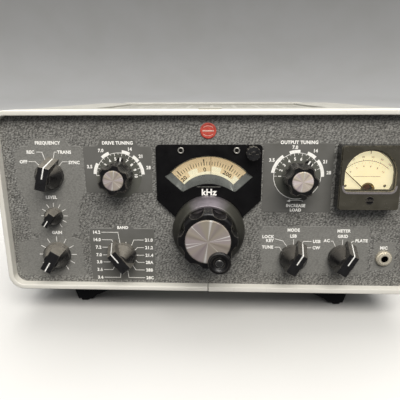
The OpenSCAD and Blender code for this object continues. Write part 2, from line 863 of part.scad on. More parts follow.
// Pots and wafer switches behind the panel
module switch_bodies()
    color("tan") stance() {
        for (at = [source_at, calibrate_at, gain_at, mode_at, meter_switch_at])
            on_panel(at, -panel_t - 1.25 - 14) difference() {
                cylinder(r = 12, h = 14);
                translate([0, 0, 5]) cylinder(r = shaft_r + gap, h = 20);
            }
        for (y = wafer_y)
            prism_y(y, y + 2.5) translate(band_at) difference() {
                circle(21);
                circle(shaft_r + gap);
                for (s = [-1, 1]) translate([0, s * 18]) circle(1.6);
            }
        prism_y(panel_back + 1.3, wafer_y[3] + 8) translate(band_at)
            for (s = [-1, 1]) translate([0, s * 18]) circle(1.55);
        prism_y(panel_back + 1.25, panel_back + 3) translate(band_at) difference() {
            circle(21);
            circle(shaft_r + gap);
        }
    }

module dial_lamps()
    color("gold") stance() for (s = [-1, 1]) {
        translate([s * 56, 20, 128]) {
            cylinder(r = 4.5, h = 10);
            translate([0, 0, 10]) cylinder(r = 5.2, h = 3);
            translate([0, 0, 13]) sphere(r = 4.6, $fn = 32);
        }
        translate([s * 56 - 4, 15, 126]) cube([8, 1.5, 14]);
        translate([s * 56 - 4, panel_back + 0.02, 126]) cube([8, 6, 1.5]);
    }

module mic_jack()
    color("silver") stance() on_panel(mic_at) difference() {
        union() {
            translate([0, 0, -panel_t - 12]) cylinder(r = 8, h = 12);
            translate([0, 0, -panel_t]) cylinder(r = 4.9, h = panel_t + 4);
            cylinder(r = 7.1, h = 2.4, $fn = 48);
            cylinder(r = 5.9, h = 3.6);
        }
        translate([0, 0, -panel_t - 9]) cylinder(r = 3.2, h = 40);
    }

// ---- Panel meter ----

meter_face_out = 5.5;           // scale plate, above the panel face
meter_cavity_out = 9.2;         // front of the movement's cavity
needle_at = [134.5, 96.5];
needle_rest = -48;
glass_bottom = 98 - 108.5;

zero_screw_at = [136, 90];
zero_screw_r = 3.5;

module meter_window_outline(grow)
    translate([134.9 - meter_at[0], 0]) difference() {
        union() {
            translate([-20.9 - grow, glass_bottom + 3 - grow]) square([41.8 + 2 * grow, 13 + grow]);
            translate([-17.9, glass_bottom - grow]) square([35.8, 10]);
            for (s = [-1, 1]) translate([s * 17.9, glass_bottom + 3]) circle(3 + grow);
            translate([0, 2.6]) circle(20.9 + grow, $fn = 96);
        }
        translate([-40, -60]) square([80, 60 + glass_bottom - grow]);
    }

module meter_case()
    color("black") stance() on_panel(meter_at) difference() {
        union() {
            linear_extrude(meter_out - 1.5) rounded(meter_w, meter_h, 2);
            translate([0, 0, meter_out - 1.51]) linear_extrude(1.5)
                rounded(meter_w - 1.4, meter_h - 1.4, 2);
            translate([0, 0, -30]) cylinder(r = barrel_r, h = 30.1, $fn = 96);
        }
        translate([0, 0, meter_out - 3]) linear_extrude(10) meter_window_outline(0.8);
        translate([0, 0, -27]) cylinder(r = barrel_r - 2, h = 27 + meter_cavity_out);
        translate([0, 0, meter_face_out - 1]) linear_extrude(60) meter_window_outline(-0.6);
        translate([zero_screw_at[0] - meter_at[0], zero_screw_at[1] - meter_at[1], meter_out - 4])
            cylinder(r = zero_screw_r + gap, h = 10);
    }

module meter_window()
    color("lightcyan") stance() on_panel(meter_at, meter_out - 2.9)
        linear_extrude(2.4) meter_window_outline(0.7);

module meter_scale()
    color("ivory") stance() on_panel(meter_at, meter_face_out - 0.98) linear_extrude(0.8)
        difference() {
            union() {
                meter_window_outline(-0.7);
                intersection() {
                    circle(barrel_r - 2.05);
                    square([60, 34], center = true);
                }
            }
            translate(needle_at - meter_at + [2.2, 0.6]) circle(6.2);
        }

module meter_needle()
    color("black") stance() on_panel(needle_at) {
        clockwise(needle_rest) {
            translate([0, 0, 7.4]) linear_extrude(0.5)
                polygon([[-0.6, -4], [0.6, -4], [0.25, 27], [-0.25, 27]]);
            translate([0, 0, 7.2]) cylinder(r = 1.6, h = 0.9);
        }
        translate([0, 0, -6]) cylinder(r = 0.6, h = 15);
    }

module meter_coil()
    color("chocolate") stance() on_panel(needle_at) clockwise(needle_rest)
        difference() {
            translate([0, 0, -1]) cube([11, 5, 7.6], center = true);
            translate([0, 0, -1]) cube([8, 8, 4.6], center = true);
            translate([0, 0, -20]) cylinder(r = 0.6, h = 40);
        }

module meter_zero_screw()
    color("black") stance() on_panel(zero_screw_at, meter_out - 3.9) difference() {
        cylinder(r = zero_screw_r, h = 4.4);
        translate([-5, -0.5, 3.6]) cube([10, 1, 2]);
    }

// ---- Chassis and what stands on it ----

chassis_x = 165;
front_apron_y = 30;
rear_apron_y = case_d - 4.5;
pa_box = [[38, 150], [158, 282]];

module chassis()
    color("lightgray") stance() difference() {
        union() {
            translate([-chassis_x, front_apron_y, deck_z])
                cube([2 * chassis_x, rear_apron_y - front_apron_y, deck_t]);
            translate([-chassis_x, rear_apron_y - 1.5, 12]) cube([2 * chassis_x, 1.5, deck_z - 11]);
            for (s = [-1, 1])
                translate([s * chassis_x - (s > 0 ? 1.5 : 0), front_apron_y, sheet_t + shell_inset + 0.02])
                    cube([1.5, rear_apron_y - front_apron_y, deck_z - sheet_t - shell_inset]);
            // Bearing bracket and guide posts of the slug rack
            translate([-drive_col - 12, 50, deck_top - 0.1]) cube([24, 2, high_row + 12 - deck_top]);
            for (x = post_x)
                translate([-drive_col + x, rack_y + 2, deck_top - 0.1])
                    cylinder(r = 2, h = high_row + 46 - deck_top);
        }
        prism_y(49, 53) translate(drive_at) circle(shaft_r + gap);
        for (s = rear_sockets)
            prism_y(case_d - 12, case_d) translate([s[0], s[1]]) circle(s[2]);
        for (at = tube_spots) translate([at[0], at[1], deck_z - 1]) cylinder(r = at[2] - 2, h = 4);
    }

module vfo_can()
    color("lightgray") stance() difference() {
        translate([-40, 45, deck_top + 0.02]) cube([72, 100, 66]);
        translate([-38, 47, deck_top - 1]) cube([68, 96, 65]);
        prism_y(40, 50) translate(dial_at) circle(3 + gap);
    }

module pa_cage()
    color("silver") stance() difference() {
        translate([pa_box[0][0], pa_box[0][1], deck_top + 0.02])
            cube([pa_box[1][0] - pa_box[0][0], pa_box[1][1] - pa_box[0][1], 80]);
        translate([pa_box[0][0] + 1.5, pa_box[0][1] + 1.5, deck_top - 1])
            cube([pa_box[1][0] - pa_box[0][0] - 3, pa_box[1][1] - pa_box[0][1] - 3, 79.5]);
        translate([98, 216, deck_top + 40]) linear_extrude(60)
            for (j = [-6:6], i = [-1:1]) translate([i * 36, j * 9]) square([30, 4.5], center = true);
        for (k = [-5:5])
            translate([0, 216 + k * 11 - 2.5, deck_top + 18]) cube([300, 5, 44]);
        for (k = [-4:4])
            translate([98 + k * 12 - 2.5, 140, deck_top + 18]) cube([5, 300, 44]);
    }

// Tubes as [x, y, radius, height]: small shielded ones, then the two power tubes
tube_spots = [[-140, 80, 11, 48], [-140, 120, 11, 48], [-140, 160, 11, 48], [-140, 200, 11, 48],
    [-100, 130, 11, 48], [-60, 130, 11, 55], [-100, 190, 11, 48], [-60, 190, 11, 55],
    [-15, 180, 11, 48], [-15, 230, 11, 48], [72, 240, 20, 70], [124, 240, 20, 70]];

module tubes()
    color("whitesmoke") stance() for (at = tube_spots)
        translate([at[0], at[1], deck_top + 0.02]) {
            cylinder(r = at[2] + 1.5, h = 3);
            cylinder(r = at[2] - 1, h = at[3] - at[2] / 2);
            translate([0, 0, at[3] - at[2] / 2])
                cylinder(r1 = at[2] - 1, r2 = at[2] * 0.45, h = at[2] / 2);
        }

// ---- Rear connectors: positions and hole radii on the rear apron ----

rear_sockets = [[135, 45, 8.2], [90, 52, 4.2], [66, 52, 4.2], [42, 52, 4.2], [90, 28, 4.2],
    [66, 28, 4.2], [42, 28, 4.2], [-90, 40, 16.2], [-135, 32, 2.2]];

// Draws children with their Z pointing out of the back at a place on the apron
module on_apron(s)
    translate([s[0], rear_apron_y, s[1]]) rotate([-90, 0, 0]) children();

module antenna_jack()
    color("silver") stance() on_apron(rear_sockets[0]) difference() {
        union() {
            translate([0, 0, -6]) cylinder(r = 8, h = 18);
            translate([0, 0, 0.02]) linear_extrude(2) rounded(25, 25, 2);
        }
        translate([0, 0, 2]) cylinder(r = 6.2, h = 20);
        translate([0, 0, -8]) cylinder(r = 2, h = 20);
    }

module phono_jacks()
    color("goldenrod") stance() for (k = [1:6]) on_apron(rear_sockets[k]) difference() {
        union() {
            translate([0, 0, -4]) cylinder(r = 4.05, h = 13);
            translate([0, 0, 0.02]) linear_extrude(1) rounded(15, 12, 2);
        }
        translate([0, 0, 1]) cylinder(r = 1.6, h = 20);
    }

module power_plug()
    color("saddlebrown") stance() on_apron(rear_sockets[7]) difference() {
        union() {
            translate([0, 0, -8]) cylinder(r = 16, h = 12);
            translate([0, 0, 0.02]) cylinder(r = 20, h = 1.6);
            for (k = [0:10]) rotate(k * 30) translate([0, 10.5, 3]) cylinder(r = 1.5, h = 9);
            translate([0, 0, 3]) cylinder(r = 3, h = 10);
        }
        translate([0, 0, -20]) cylinder(r = 1.5, h = 40);
    }

module ground_post()
    color("silver") stance() on_apron(rear_sockets[8]) {
        translate([0, 0, -6]) cylinder(r = 2, h = 20);
        translate([0, 0, 0.02]) cylinder(r = 4.5, h = 1);
        translate([0, 0, 4]) {
            cylinder(r = 4, h = 5);
            translate([-9, -1, 1]) cube([18, 2, 8]);
        }
    }

cabinet_shell();
trim_ring();
front_panel();
dial_escutcheon();
panel_screws();
window_bezel();
window_glass();
skirt_ring();
front_feet();
foot_pads();
badge();
control_bushings();
switch_bodies();
dial_lamps();
meter_case();
meter_window();
meter_scale();
mic_jack();
chassis();
vfo_can();
pa_cage();
tubes();
capacitor_stators();
slug_coils();
antenna_jack();
phono_jacks();
power_plug();
ground_post();
hinge_pin();
top_lid();
lid_grille();
tuning_knob();
tuning_cap();
tuning_shaft();
spinner_post();
spinner_knob();
dial_disc();
dial_gear();
hairline_cursor();
zero_set_knob();
drive_knob();
drive_cap();
drive_shaft();
slug_rack();
output_knob();
output_cap();
output_shaft();
output_rotor();
loading_lever();
loading_gear();
loading_rotor();
source_knob();
calibrate_knob();
gain_knob();
band_knob();
mode_knob();
meter_knob();
meter_needle();
meter_coil();
meter_zero_screw();
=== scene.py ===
"""Looks of a desktop radio transmitter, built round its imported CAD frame.

Places come from the frame: the joints give each control's axis, and the bezel and the panel give
the cabinet's corner and face. Sizes are in millimetres, either in the level cabinet frame (X right,
Y into the cabinet, Z up) or on the panel (X right, Y up, Z out of its face), and become metres when
a mesh is finished. Angles are in degrees, clockwise from straight up as the operator sees them.
"""

import json
import math

import bmesh
import bpy
import numpy as np
from mathutils import Matrix, Vector


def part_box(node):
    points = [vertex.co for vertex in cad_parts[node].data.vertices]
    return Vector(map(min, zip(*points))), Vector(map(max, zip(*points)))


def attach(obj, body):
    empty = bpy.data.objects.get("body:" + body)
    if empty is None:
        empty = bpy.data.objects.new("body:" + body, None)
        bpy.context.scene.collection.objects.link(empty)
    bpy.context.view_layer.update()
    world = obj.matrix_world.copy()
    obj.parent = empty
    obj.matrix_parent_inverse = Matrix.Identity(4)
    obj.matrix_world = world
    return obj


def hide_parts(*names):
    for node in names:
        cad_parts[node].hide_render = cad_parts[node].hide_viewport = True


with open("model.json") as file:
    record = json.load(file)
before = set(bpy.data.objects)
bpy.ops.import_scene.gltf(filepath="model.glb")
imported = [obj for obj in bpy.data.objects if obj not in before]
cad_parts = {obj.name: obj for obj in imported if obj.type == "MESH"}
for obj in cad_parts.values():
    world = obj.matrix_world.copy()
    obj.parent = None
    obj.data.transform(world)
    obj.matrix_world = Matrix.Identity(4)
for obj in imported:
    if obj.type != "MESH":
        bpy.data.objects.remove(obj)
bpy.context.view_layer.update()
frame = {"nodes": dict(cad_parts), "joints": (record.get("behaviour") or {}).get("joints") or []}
NODES = frame["nodes"]
JOINTS = {joint["name"]: joint for joint in frame["joints"]}
MM = 0.001


# ---- Where things are ----

INWARD = Vector(JOINTS["tuning_turn"]["axis"])
LEVEL = Matrix.Rotation(math.atan2(INWARD.z, INWARD.y), 4, "X")


def level_box(node):
    """Lowest and highest corner of a node in the level cabinet's directions, in metres."""
    points = np.array([LEVEL.inverted() @ v.co for v in NODES[node].data.vertices])
    return points.min(0), points.max(0)


RING_LOW = level_box("trim_ring")[0]
CORNER = LEVEL @ Vector((0, RING_LOW[1], RING_LOW[2]))
CABINET = Matrix.Translation(CORNER) @ LEVEL @ Matrix.Scale(MM, 4)
PANEL_DEPTH = (level_box("front_panel")[0][1] - RING_LOW[1]) / MM
PANEL = CABINET @ Matrix.Translation((0, PANEL_DEPTH, 0)) @ Matrix.Rotation(math.pi / 2, 4, "X")


def spot(joint):
    """Where a joint's axis meets the panel, as (x, y)."""
    place = PANEL.inverted() @ Vector(JOINTS[joint]["pos_m"])
    return place.x, place.y


def on_panel(at, out=0.0, turn=0.0):
    """Places a drawing at a point of the panel, out of its face and turned clockwise."""
    return Matrix.Translation((at[0], at[1], out)) @ Matrix.Rotation(-math.radians(turn), 4, "Z")


def level_extent(node):
    """(low, high) of a node in cabinet millimetres."""
    low, high = level_box(node)
    corner = np.array((0.0, RING_LOW[1], RING_LOW[2]))
    return (low - corner) / MM, (high - corner) / MM


def out_of(node):
    """How far the node's front stands out of the panel face."""
    return PANEL_DEPTH - level_extent(node)[0][1]


SOURCE, CALIBRATE, GAIN = spot("source_turn"), spot("calibrate_turn"), spot("gain_turn")
BAND, DRIVE, TUNING = spot("band_turn"), spot("drive_turn"), spot("tuning_turn")
MODE, OUTPUT, METER_SWITCH = spot("mode_turn"), spot("output_turn"), spot("meter_switch_turn")
DIAL, NEEDLE = spot("dial_turn"), spot("needle_swing")
MIC_LOW, MIC_HIGH = level_extent("mic_jack")
MIC = ((MIC_LOW[0] + MIC_HIGH[0]) / 2, (MIC_LOW[2] + MIC_HIGH[2]) / 2)


# ---- Drawing solid shapes ----

def polar(radius, angle, centre=(0.0, 0.0)):
    """Point at a radius and a clockwise angle from straight up."""
    a = math.radians(angle)
    return centre[0] + radius * math.sin(a), centre[1] + radius * math.cos(a)


def sweep(radius, start, end, step=3.0):
    """Points along an arc, clockwise angles."""
    count = max(2, int(abs(end - start) / step) + 1)
    return [polar(radius, start + (end - start) * i / (count - 1)) for i in range(count)]


def round_corners(points, radius, steps=4):
    """Outline with each corner replaced by a small curve."""
    out = []
    for i, p in enumerate(points):
        here, back, on = Vector(p), Vector(points[i - 1]), Vector(points[(i + 1) % len(points)])
        reach = min(radius, (back - here).length * 0.45, (on - here).length * 0.45)
        start = here + (back - here).normalized() * reach
        end = here + (on - here).normalized() * reach
        for k in range(steps + 1):
            t = k / steps
            out.append(tuple((1 - t) ** 2 * start + 2 * t * (1 - t) * here + t * t * end))
    return out


def anticlockwise(outline):
    """The outline, turned round if it runs clockwise."""
    area = sum(a[0] * b[1] - b[0] * a[1] for a, b in zip(outline, outline[1:] + outline[:1]))
    return outline if area > 0 else list(reversed(outline))


CAPITAL_SHARE = 0.68            # height of a capital over the font's size
LETTER_SPACING = 1.08
WELD = 1e-4                     # points this close become one, in millimetres


class Shape:
    """Collects closed solids of one mesh, in millimetres."""

    def __init__(self):
        self.bm = bmesh.new()

    def loft(self, rings, place=Matrix(), loop=False):
        """Skin between closed rings of 3-D points, all with the same number of points."""
        rows = [[self.bm.verts.new(place @ Vector(p)) for p in ring] for ring in rings]
        count = len(rows[0])
        pairs = list(zip(rows, rows[1:])) + ([(rows[-1], rows[0])] if loop else [])
        for low, high in pairs:
            for i in range(count):
                j = (i + 1) % count
                self.bm.faces.new((low[i], low[j], high[j], high[i]))
        if not loop:
            self.bm.faces.new(list(reversed(rows[0])))
            self.bm.faces.new(rows[-1])

    def prism(self, outline, low, high, place=Matrix()):
        """Solid between two heights over an outline."""
        self.loft([[(x, y, z) for x, y in anticlockwise(outline)] for z in (low, high)], place)

    def strip(self, left, right, low, high, place=Matrix()):
        """Solid ribbon between two rows of points."""
        rings = [[(*a, low), (*b, low), (*b, high), (*a, high)] for a, b in zip(left, right)]
        self.loft(rings, place)

    def line(self, points, width, low, high, place=Matrix()):
        """Solid ribbon along a polyline, with mitred corners."""
        left, right = [], []
        points = [Vector(p) for p in points]
        for i, p in enumerate(points):
            before = (p - points[i - 1]).normalized() if i else None
            after = (points[i + 1] - p).normalized() if i + 1 < len(points) else None
            along = ((before or after) + (after or before)).normalized()
            side = Vector((-along.y, along.x))
            reach = width / 2 / max(0.5, along.dot(before or after))
            left.append(tuple(p + side * reach))
            right.append(tuple(p - side * reach))
        self.strip(left, right, low, high, place)

    def band(self, inner, outer, start, end, low, high, place=Matrix()):
        """Solid part of a ring between two angles."""
        self.strip(sweep(outer, start, end), sweep(inner, start, end), low, high, place)

    def lathe(self, profile, place=Matrix(), steps=48, loop=False):
        """Turned solid from (radius, height) pairs; a loop closes on itself, such as a ring."""
        turns = [2 * math.pi * i / steps for i in range(steps)]
        rings = [[(radius * math.cos(a), radius * math.sin(a), height) for a in turns]
                 for radius, height in profile]
        self.loft(rings, place, loop)

    def washer(self, inner, outer, low, high, place=Matrix(), steps=96):
        """Flat ring."""
        self.lathe([(inner, low), (outer, low), (outer, high), (inner, high)], place, steps, True)

    def text(self, words, height, at, low, high, align="CENTER", turn=0.0, wide=1.0, weight=0.0,
             place=Matrix()):
        """Raised lettering, with its capitals this high and centred on the point's level."""
        curve = bpy.data.curves.new("letters", "FONT")
        curve.body, curve.align_x, curve.size = words, align, height / CAPITAL_SHARE
        curve.space_character, curve.offset = LETTER_SPACING, weight
        curve.extrude, curve.resolution_u = (high - low) / 2, 3
        writer = bpy.data.objects.new("letters", curve)
        bpy.context.scene.collection.objects.link(writer)
        bpy.context.view_layer.update()
        mesh = bpy.data.meshes.new_from_object(writer)
        mesh.transform(place @ on_panel(at, (low + high) / 2, turn)
                       @ Matrix.Diagonal((wide, 1, 1, 1)) @ Matrix.Translation((0, -height / 2, 0)))
        self.bm.from_mesh(mesh)
        bpy.data.objects.remove(writer)
        bpy.data.curves.remove(curve)
        bpy.data.meshes.remove(mesh)

    def finish(self, name, body, material, smooth_angle=None, slot=None):
        """Makes the piece, in metres, riding on a body."""
        bmesh.ops.remove_doubles(self.bm, verts=self.bm.verts, dist=WELD)
        bmesh.ops.recalc_face_normals(self.bm, faces=self.bm.faces)
        self.bm.transform(PANEL)
        mesh = bpy.data.meshes.new(name)
        self.bm.to_mesh(mesh)
        self.bm.free()
        piece = bpy.data.objects.new(name, mesh)
        bpy.context.scene.collection.objects.link(piece)
        piece.data.materials.append(material)
        if smooth_angle:
            shade_smooth(piece, smooth_angle)
        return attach(piece, body)


def smoothing_group(angle):
    """Geometry nodes that shade faces smooth and keep edges steeper than an angle sharp."""
    name = f"smooth_{angle:g}"
    if name in bpy.data.node_groups:
        return bpy.data.node_groups[name]
    group = bpy.data.node_groups.new(name, "GeometryNodeTree")
    group.interface.new_socket("Geometry", in_out="INPUT", socket_type="NodeSocketGeometry")
    group.interface.new_socket("Geometry", in_out="OUTPUT", socket_type="NodeSocketGeometry")
    source, sink = group.nodes.new("NodeGroupInput"), group.nodes.new("NodeGroupOutput")
    faces = group.nodes.new("GeometryNodeSetShadeSmooth")
    edges = group.nodes.new("GeometryNodeSetShadeSmooth")
    edges.domain = "EDGE"
    edges.inputs["Shade Smooth"].default_value = False
    steep = group.nodes.new("FunctionNodeCompare")
    steep.inputs[1].default_value = math.radians(angle)
    turn = group.nodes.new("GeometryNodeInputMeshEdgeAngle")
    group.links.new(turn.outputs[0], steep.inputs[0])
    group.links.new(source.outputs[0], faces.inputs["Geometry"])
    group.links.new(faces.outputs["Geometry"], edges.inputs["Geometry"])
    group.links.new(steep.outputs[0], edges.inputs["Selection"])
    group.links.new(edges.outputs["Geometry"], sink.inputs[0])
    return group


def shade_smooth(piece, angle):
    piece.modifiers.new("smoothing", "NODES").node_group = smoothing_group(angle)


CREASE = 35.0                   # edges steeper than this are rounded
SMOOTH_PAST_BEVEL = 10          # how much steeper an edge stays smooth once it is rounded


def soften_edges(node, width):
    """Rounds a CAD node's edges by a small width with modifiers, and smooths its round faces."""
    piece = NODES[node]
    if "custom_normal" in piece.data.attributes:
        piece.data.attributes.remove(piece.data.attributes["custom_normal"])
    piece.modifiers.new("weld", "WELD").merge_threshold = 0.005 * MM
    if width:
        bevel = piece.modifiers.new("bevel", "BEVEL")
        bevel.limit_method, bevel.angle_limit = "ANGLE", math.radians(CREASE)
        bevel.width, bevel.segments = width * MM, 2
        bevel.miter_outer = "MITER_ARC"
    shade_smooth(piece, CREASE + SMOOTH_PAST_BEVEL if width else CREASE)
    if width:
        piece.modifiers.new("flat_faces", "WEIGHTED_NORMAL").keep_sharp = True


def paint(node, material):
    """Gives a CAD node its material."""
    piece = NODES[node]
    piece.data.materials.clear()
    piece.data.materials.append(material)


# ---- Materials ----

GRAIN_LOW, GRAIN_HIGH = 0.04, 0.5       # the panel skin's height over the sheet metal


def tone(red, green, blue):
    """Linear colour of a paint given as 0..255 screen values."""
    parts = [c / 255 for c in (red, green, blue)]
    return [c / 12.92 if c <= 0.04045 else ((c + 0.055) / 1.055) ** 2.4 for c in parts] + [1.0]


class Look:
    """A procedural material, whose patterns are solid ones in the piece's own space."""

    def __init__(self, name, rough=0.5, metal=0.0, specular=0.5):
        self.material = bpy.data.materials.new(name)
        self.material.use_nodes = True
        self.tree = self.material.node_tree
        self.shader = self.tree.nodes["Principled BSDF"]
        self.place = self.node("ShaderNodeTexCoord").outputs["Object"]
        geometry = self.node("ShaderNodeNewGeometry")
        self.facing = geometry.outputs["Normal"]
        self.position = geometry.outputs["Position"]
        self.set(Roughness=rough, Metallic=metal)
        self.shader.inputs["Specular IOR Level"].default_value = specular

    def node(self, kind, inputs=None, **settings):
        made = self.tree.nodes.new(kind)
        for key, value in settings.items():
            setattr(made, key, value)
        for key, value in (inputs or {}).items():
            self.feed(made.inputs[key], value)
        return made

    def feed(self, socket, value):
        if isinstance(value, bpy.types.NodeSocket):
            self.tree.links.new(value, socket)
        else:
            socket.default_value = value

    def set(self, **inputs):
        """Feeds the surface's inputs; Base_Color stands for Base Color."""
        for key, value in inputs.items():
            self.feed(self.shader.inputs[key.replace("_", " ")], value)

    def noise(self, size, detail=3.0, warp=0.0, stretch=(1, 1, 1)):
        """Soft mottling with features about this many millimetres across, 0..1."""
        place = self.node("ShaderNodeMapping", {"Vector": self.place, "Scale": stretch}).outputs[0]
        return self.node("ShaderNodeTexNoise", {"Vector": place, "Scale": 1 / (size * MM),
                                                "Detail": detail, "Distortion": warp}).outputs[0]

    def cells(self, size, feature="F1", stretch=(1, 1, 1)):
        """Distance pattern of scattered cells about this many millimetres across."""
        place = self.node("ShaderNodeMapping", {"Vector": self.place, "Scale": stretch}).outputs[0]
        return self.node("ShaderNodeTexVoronoi", {"Vector": place, "Scale": 1 / (size * MM)},
                         feature=feature).outputs["Distance"]

    def span(self, value, low, high, start=0.0, end=1.0):
        """Carries low..high of a value onto start..end, held at both."""
        return self.node("ShaderNodeMapRange", {"Value": value, "From Min": low, "From Max": high,
                                                "To Min": start, "To Max": end}).outputs[0]

    def math(self, operation, first, second=0.0):
        return self.node("ShaderNodeMath", {0: first, 1: second}, operation=operation).outputs[0]

    def vector(self, operation, first, second=(0, 0, 0)):
        """Result of a vector operation: a number for a dot product or a length."""
        made = self.node("ShaderNodeVectorMath", {0: first, 1: second}, operation=operation)
        return made.outputs["Value" if operation in ("DOT_PRODUCT", "LENGTH") else "Vector"]

    def mix(self, amount, first, second):
        """Colour between two colours."""
        made = self.node("ShaderNodeMix", data_type="RGBA")
        for key, value in ((0, amount), (6, first), (7, second)):
            self.feed(made.inputs[key], value)
        return made.outputs[2]

    def edges(self, radius, sharp=0.94):
        """1 along edges and corners within this many millimetres, 0 elsewhere."""
        rounded = self.node("ShaderNodeBevel", {"Radius": radius * MM}, samples=4).outputs[0]
        return self.span(self.vector("DOT_PRODUCT", rounded, self.facing), 0.999, sharp)

    def blend(self, size, low, high, first, second, detail=4, warp=0.0, most=1.0):
        """Colour drifting from the first towards the second in patches of this many millimetres."""
        patches = self.span(self.noise(size, detail, warp), low, high, 0, most)
        return self.mix(patches, first, second)

    def rubbed(self, radius, size, low, high, most, least=0.0, detail=4, sharp=0.94):
        """How far the edges are rubbed bare, in patches of this many millimetres."""
        patches = self.span(self.noise(size, detail), low, high, least, most)
        return self.math("MULTIPLY", self.edges(radius, sharp), patches)

    def uneven(self, size, low, high, detail=4, top=0.7):
        """Roughness that drifts between two values."""
        self.set(Roughness=self.span(self.noise(size, detail), 0.3, top, low, high))

    def relief(self, height, depth):
        """Fine surface relief, this many millimetres from low to high."""
        last = self.shader.inputs["Normal"]
        normal = last.links[0].from_socket if last.is_linked else None
        made = self.node("ShaderNodeBump", {"Height": height, "Distance": depth * MM,
                                            "Strength": 1.0})
        if normal:
            self.tree.links.new(normal, made.inputs["Normal"])
        self.tree.links.new(made.outputs[0], last)

    def scratches(self, size=9.0, thin=0.06, stretch=(1, 1, 1)):
        """1 on a few hairline scratches, 0 elsewhere."""
        lines = self.cells(size, "DISTANCE_TO_EDGE", stretch)
        here = self.span(self.noise(size * 2, 2), 0.56, 0.62)
        return self.math("MULTIPLY", self.span(lines, thin, 0.0), here)


def enamel(name, base, dirt, speckle=0.05):
    """Sprayed enamel: faint orange peel, handling grime and rubbed edges."""
    look = Look(name, specular=0.4)
    mottled = look.blend(60, 0.42, 0.78, base, dirt, warp=0.6, most=0.28)
    specks = look.span(look.noise(0.9, 2), 0.66, 0.78)
    worn = look.rubbed(0.5, 7, 0.56, 0.7, 0.5)
    scuffed = look.math("MAXIMUM", worn, look.math("MULTIPLY", look.scratches(26, 0.006), 0.3))
    sprayed = look.mix(look.math("MULTIPLY", specks, 0.18), mottled, dirt)
    look.set(Base_Color=look.mix(scuffed, sprayed, tone(126, 120, 108)))
    look.uneven(16, 0.34, 0.56, top=0.75)
    look.relief(look.noise(1.5, 3), speckle)
    return look.material


def leather_grain_paint():
    """Dark grey lacquer on the panel: painted shade in the grooves, paler crests."""
    look = Look("panel_lacquer", specular=0.42)
    offset = look.vector("SUBTRACT", look.place, PANEL.translation)
    height = look.vector("DOT_PRODUCT", offset, tuple(-INWARD / MM))
    crest = look.blend(60, 0.35, 0.7, tone(158, 157, 152), tone(146, 144, 138), 3, 0.4)
    fine = look.cells(1.35, stretch=(0.75, 1, 1.45))
    crest = look.mix(look.span(fine, 0.3, 0.8, 0.0, 0.72), crest, tone(68, 67, 63))
    # Darkest deep in the grooves of the grain: painted shade.
    groove = look.span(height, GRAIN_LOW, GRAIN_HIGH * 0.72)
    grained = look.mix(groove, tone(46, 45, 43), crest)
    pressed = look.node("ShaderNodeAttribute", attribute_name="pressed").outputs["Fac"]
    look.set(Base_Color=look.mix(look.math("MULTIPLY", pressed, 0.68), grained, tone(126, 125, 120)))
    look.uneven(5, 0.36, 0.52)
    look.relief(fine, 0.07)
    return look.material


def plateau_paint(name, base, other):
    """The panel's smooth lacquered areas round the controls."""
    look = Look(name, specular=0.35)
    look.set(Base_Color=look.blend(24, 0.38, 0.66, tone(*base), tone(*other)))
    look.uneven(7, 0.44, 0.6, top=0.75)
    look.relief(look.noise(0.8, 3), 0.03)
    return look.material


def paler(base, by):
    """A paint's linear colour, raised by this many screen values."""
    return tone(*(c + by for c in base))


def moulded_black(name, base=(14, 13, 14), rough=0.28, dust_and_sheen=0.9, edge_wear_and_glint=0.5, polish=0.8):
    """Moulded phenolic, satin, rubbed pale on its edges, with a painted sheen where it faces up."""
    look = Look(name, specular=polish)
    # Edges rubbed pale by handling; on the glossy knobs they are set bright as painted edge
    # highlights.
    rubbed = look.rubbed(0.6, 3.2, 0.42, 0.66, edge_wear_and_glint, edge_wear_and_glint - 0.5, 3, 0.975)
    mottled = look.mix(look.noise(6, 4), tone(*base), paler(base, 9))
    # Paler where it faces up: a painted sheen standing for the light from above.
    upward = look.node("ShaderNodeSeparateXYZ", {0: look.facing}).outputs[2]
    painted_sheen_mask = look.math("MULTIPLY", look.span(upward, 0.3, 0.85, 0, dust_and_sheen),
                      look.span(look.noise(7, 4), 0.3, 0.6, 0.7, 1.0))
    dusty_and_sheened = look.mix(painted_sheen_mask, mottled, tone(128, 123, 113))
    look.set(Base_Color=look.mix(rubbed, dusty_and_sheened, tone(122, 117, 108)))
    look.uneven(4, rough - 0.08, rough + 0.14, top=0.72)
    look.relief(look.noise(0.35, 2), 0.008)
    return look.material


def jack_metal(name, node, centre):
    """Nickelled jack: bright turned rings round a bore painted black as shade."""
    look = Look(name)
    front = PANEL @ Vector((*centre, out_of(node)))
    offset = look.vector("SUBTRACT", look.position, front)
    depth = look.vector("DOT_PRODUCT", offset, tuple(INWARD / MM))
    radius = look.vector("LENGTH", look.vector("CROSS_PRODUCT", offset, tuple(INWARD / MM)))
    # Black and not metallic deep in the bore: painted shade.
    bore = look.math("MULTIPLY", look.span(depth, 0.5, 1.2), look.span(radius, 4.2, 3.6))
    turned = look.math("SINE", look.math("MULTIPLY", radius, 3.9))
    plate = look.mix(look.span(turned, 0.1, 0.9, 0, 0.7), tone(240, 232, 212), tone(150, 140, 118))
    look.set(Base_Color=look.mix(bore, plate, tone(9, 8, 8)),
             Metallic=look.span(bore, 0.2, 0.8, 0.45, 0.0))
    look.uneven(3, 0.2, 0.36, 3)
    return look.material


def two_tone_case(name, sides, front):
    """Glossy moulding: its face sprayed in a second colour, its sides black, partly as painted shade.
    """
    look = Look(name, specular=0.7)
    ahead = look.vector("DOT_PRODUCT", look.facing, tuple(-INWARD))
    sprayed = look.blend(16, 0.36, 0.66, tone(*front), paler(front, 14), warp=0.8)
    # Black where it turns away from the front: the sides' colour and painted shade together.
    painted = look.mix(look.span(ahead, 0.35, 0.6), tone(*sides), sprayed)
    rubbed = look.rubbed(0.7, 3, 0.4, 0.62, 0.6, detail=3)
    look.set(Base_Color=look.mix(rubbed, painted, tone(124, 118, 100)))
    look.uneven(5, 0.14, 0.3)
    look.relief(look.scratches(14, 0.015), -0.01)
    return look.material


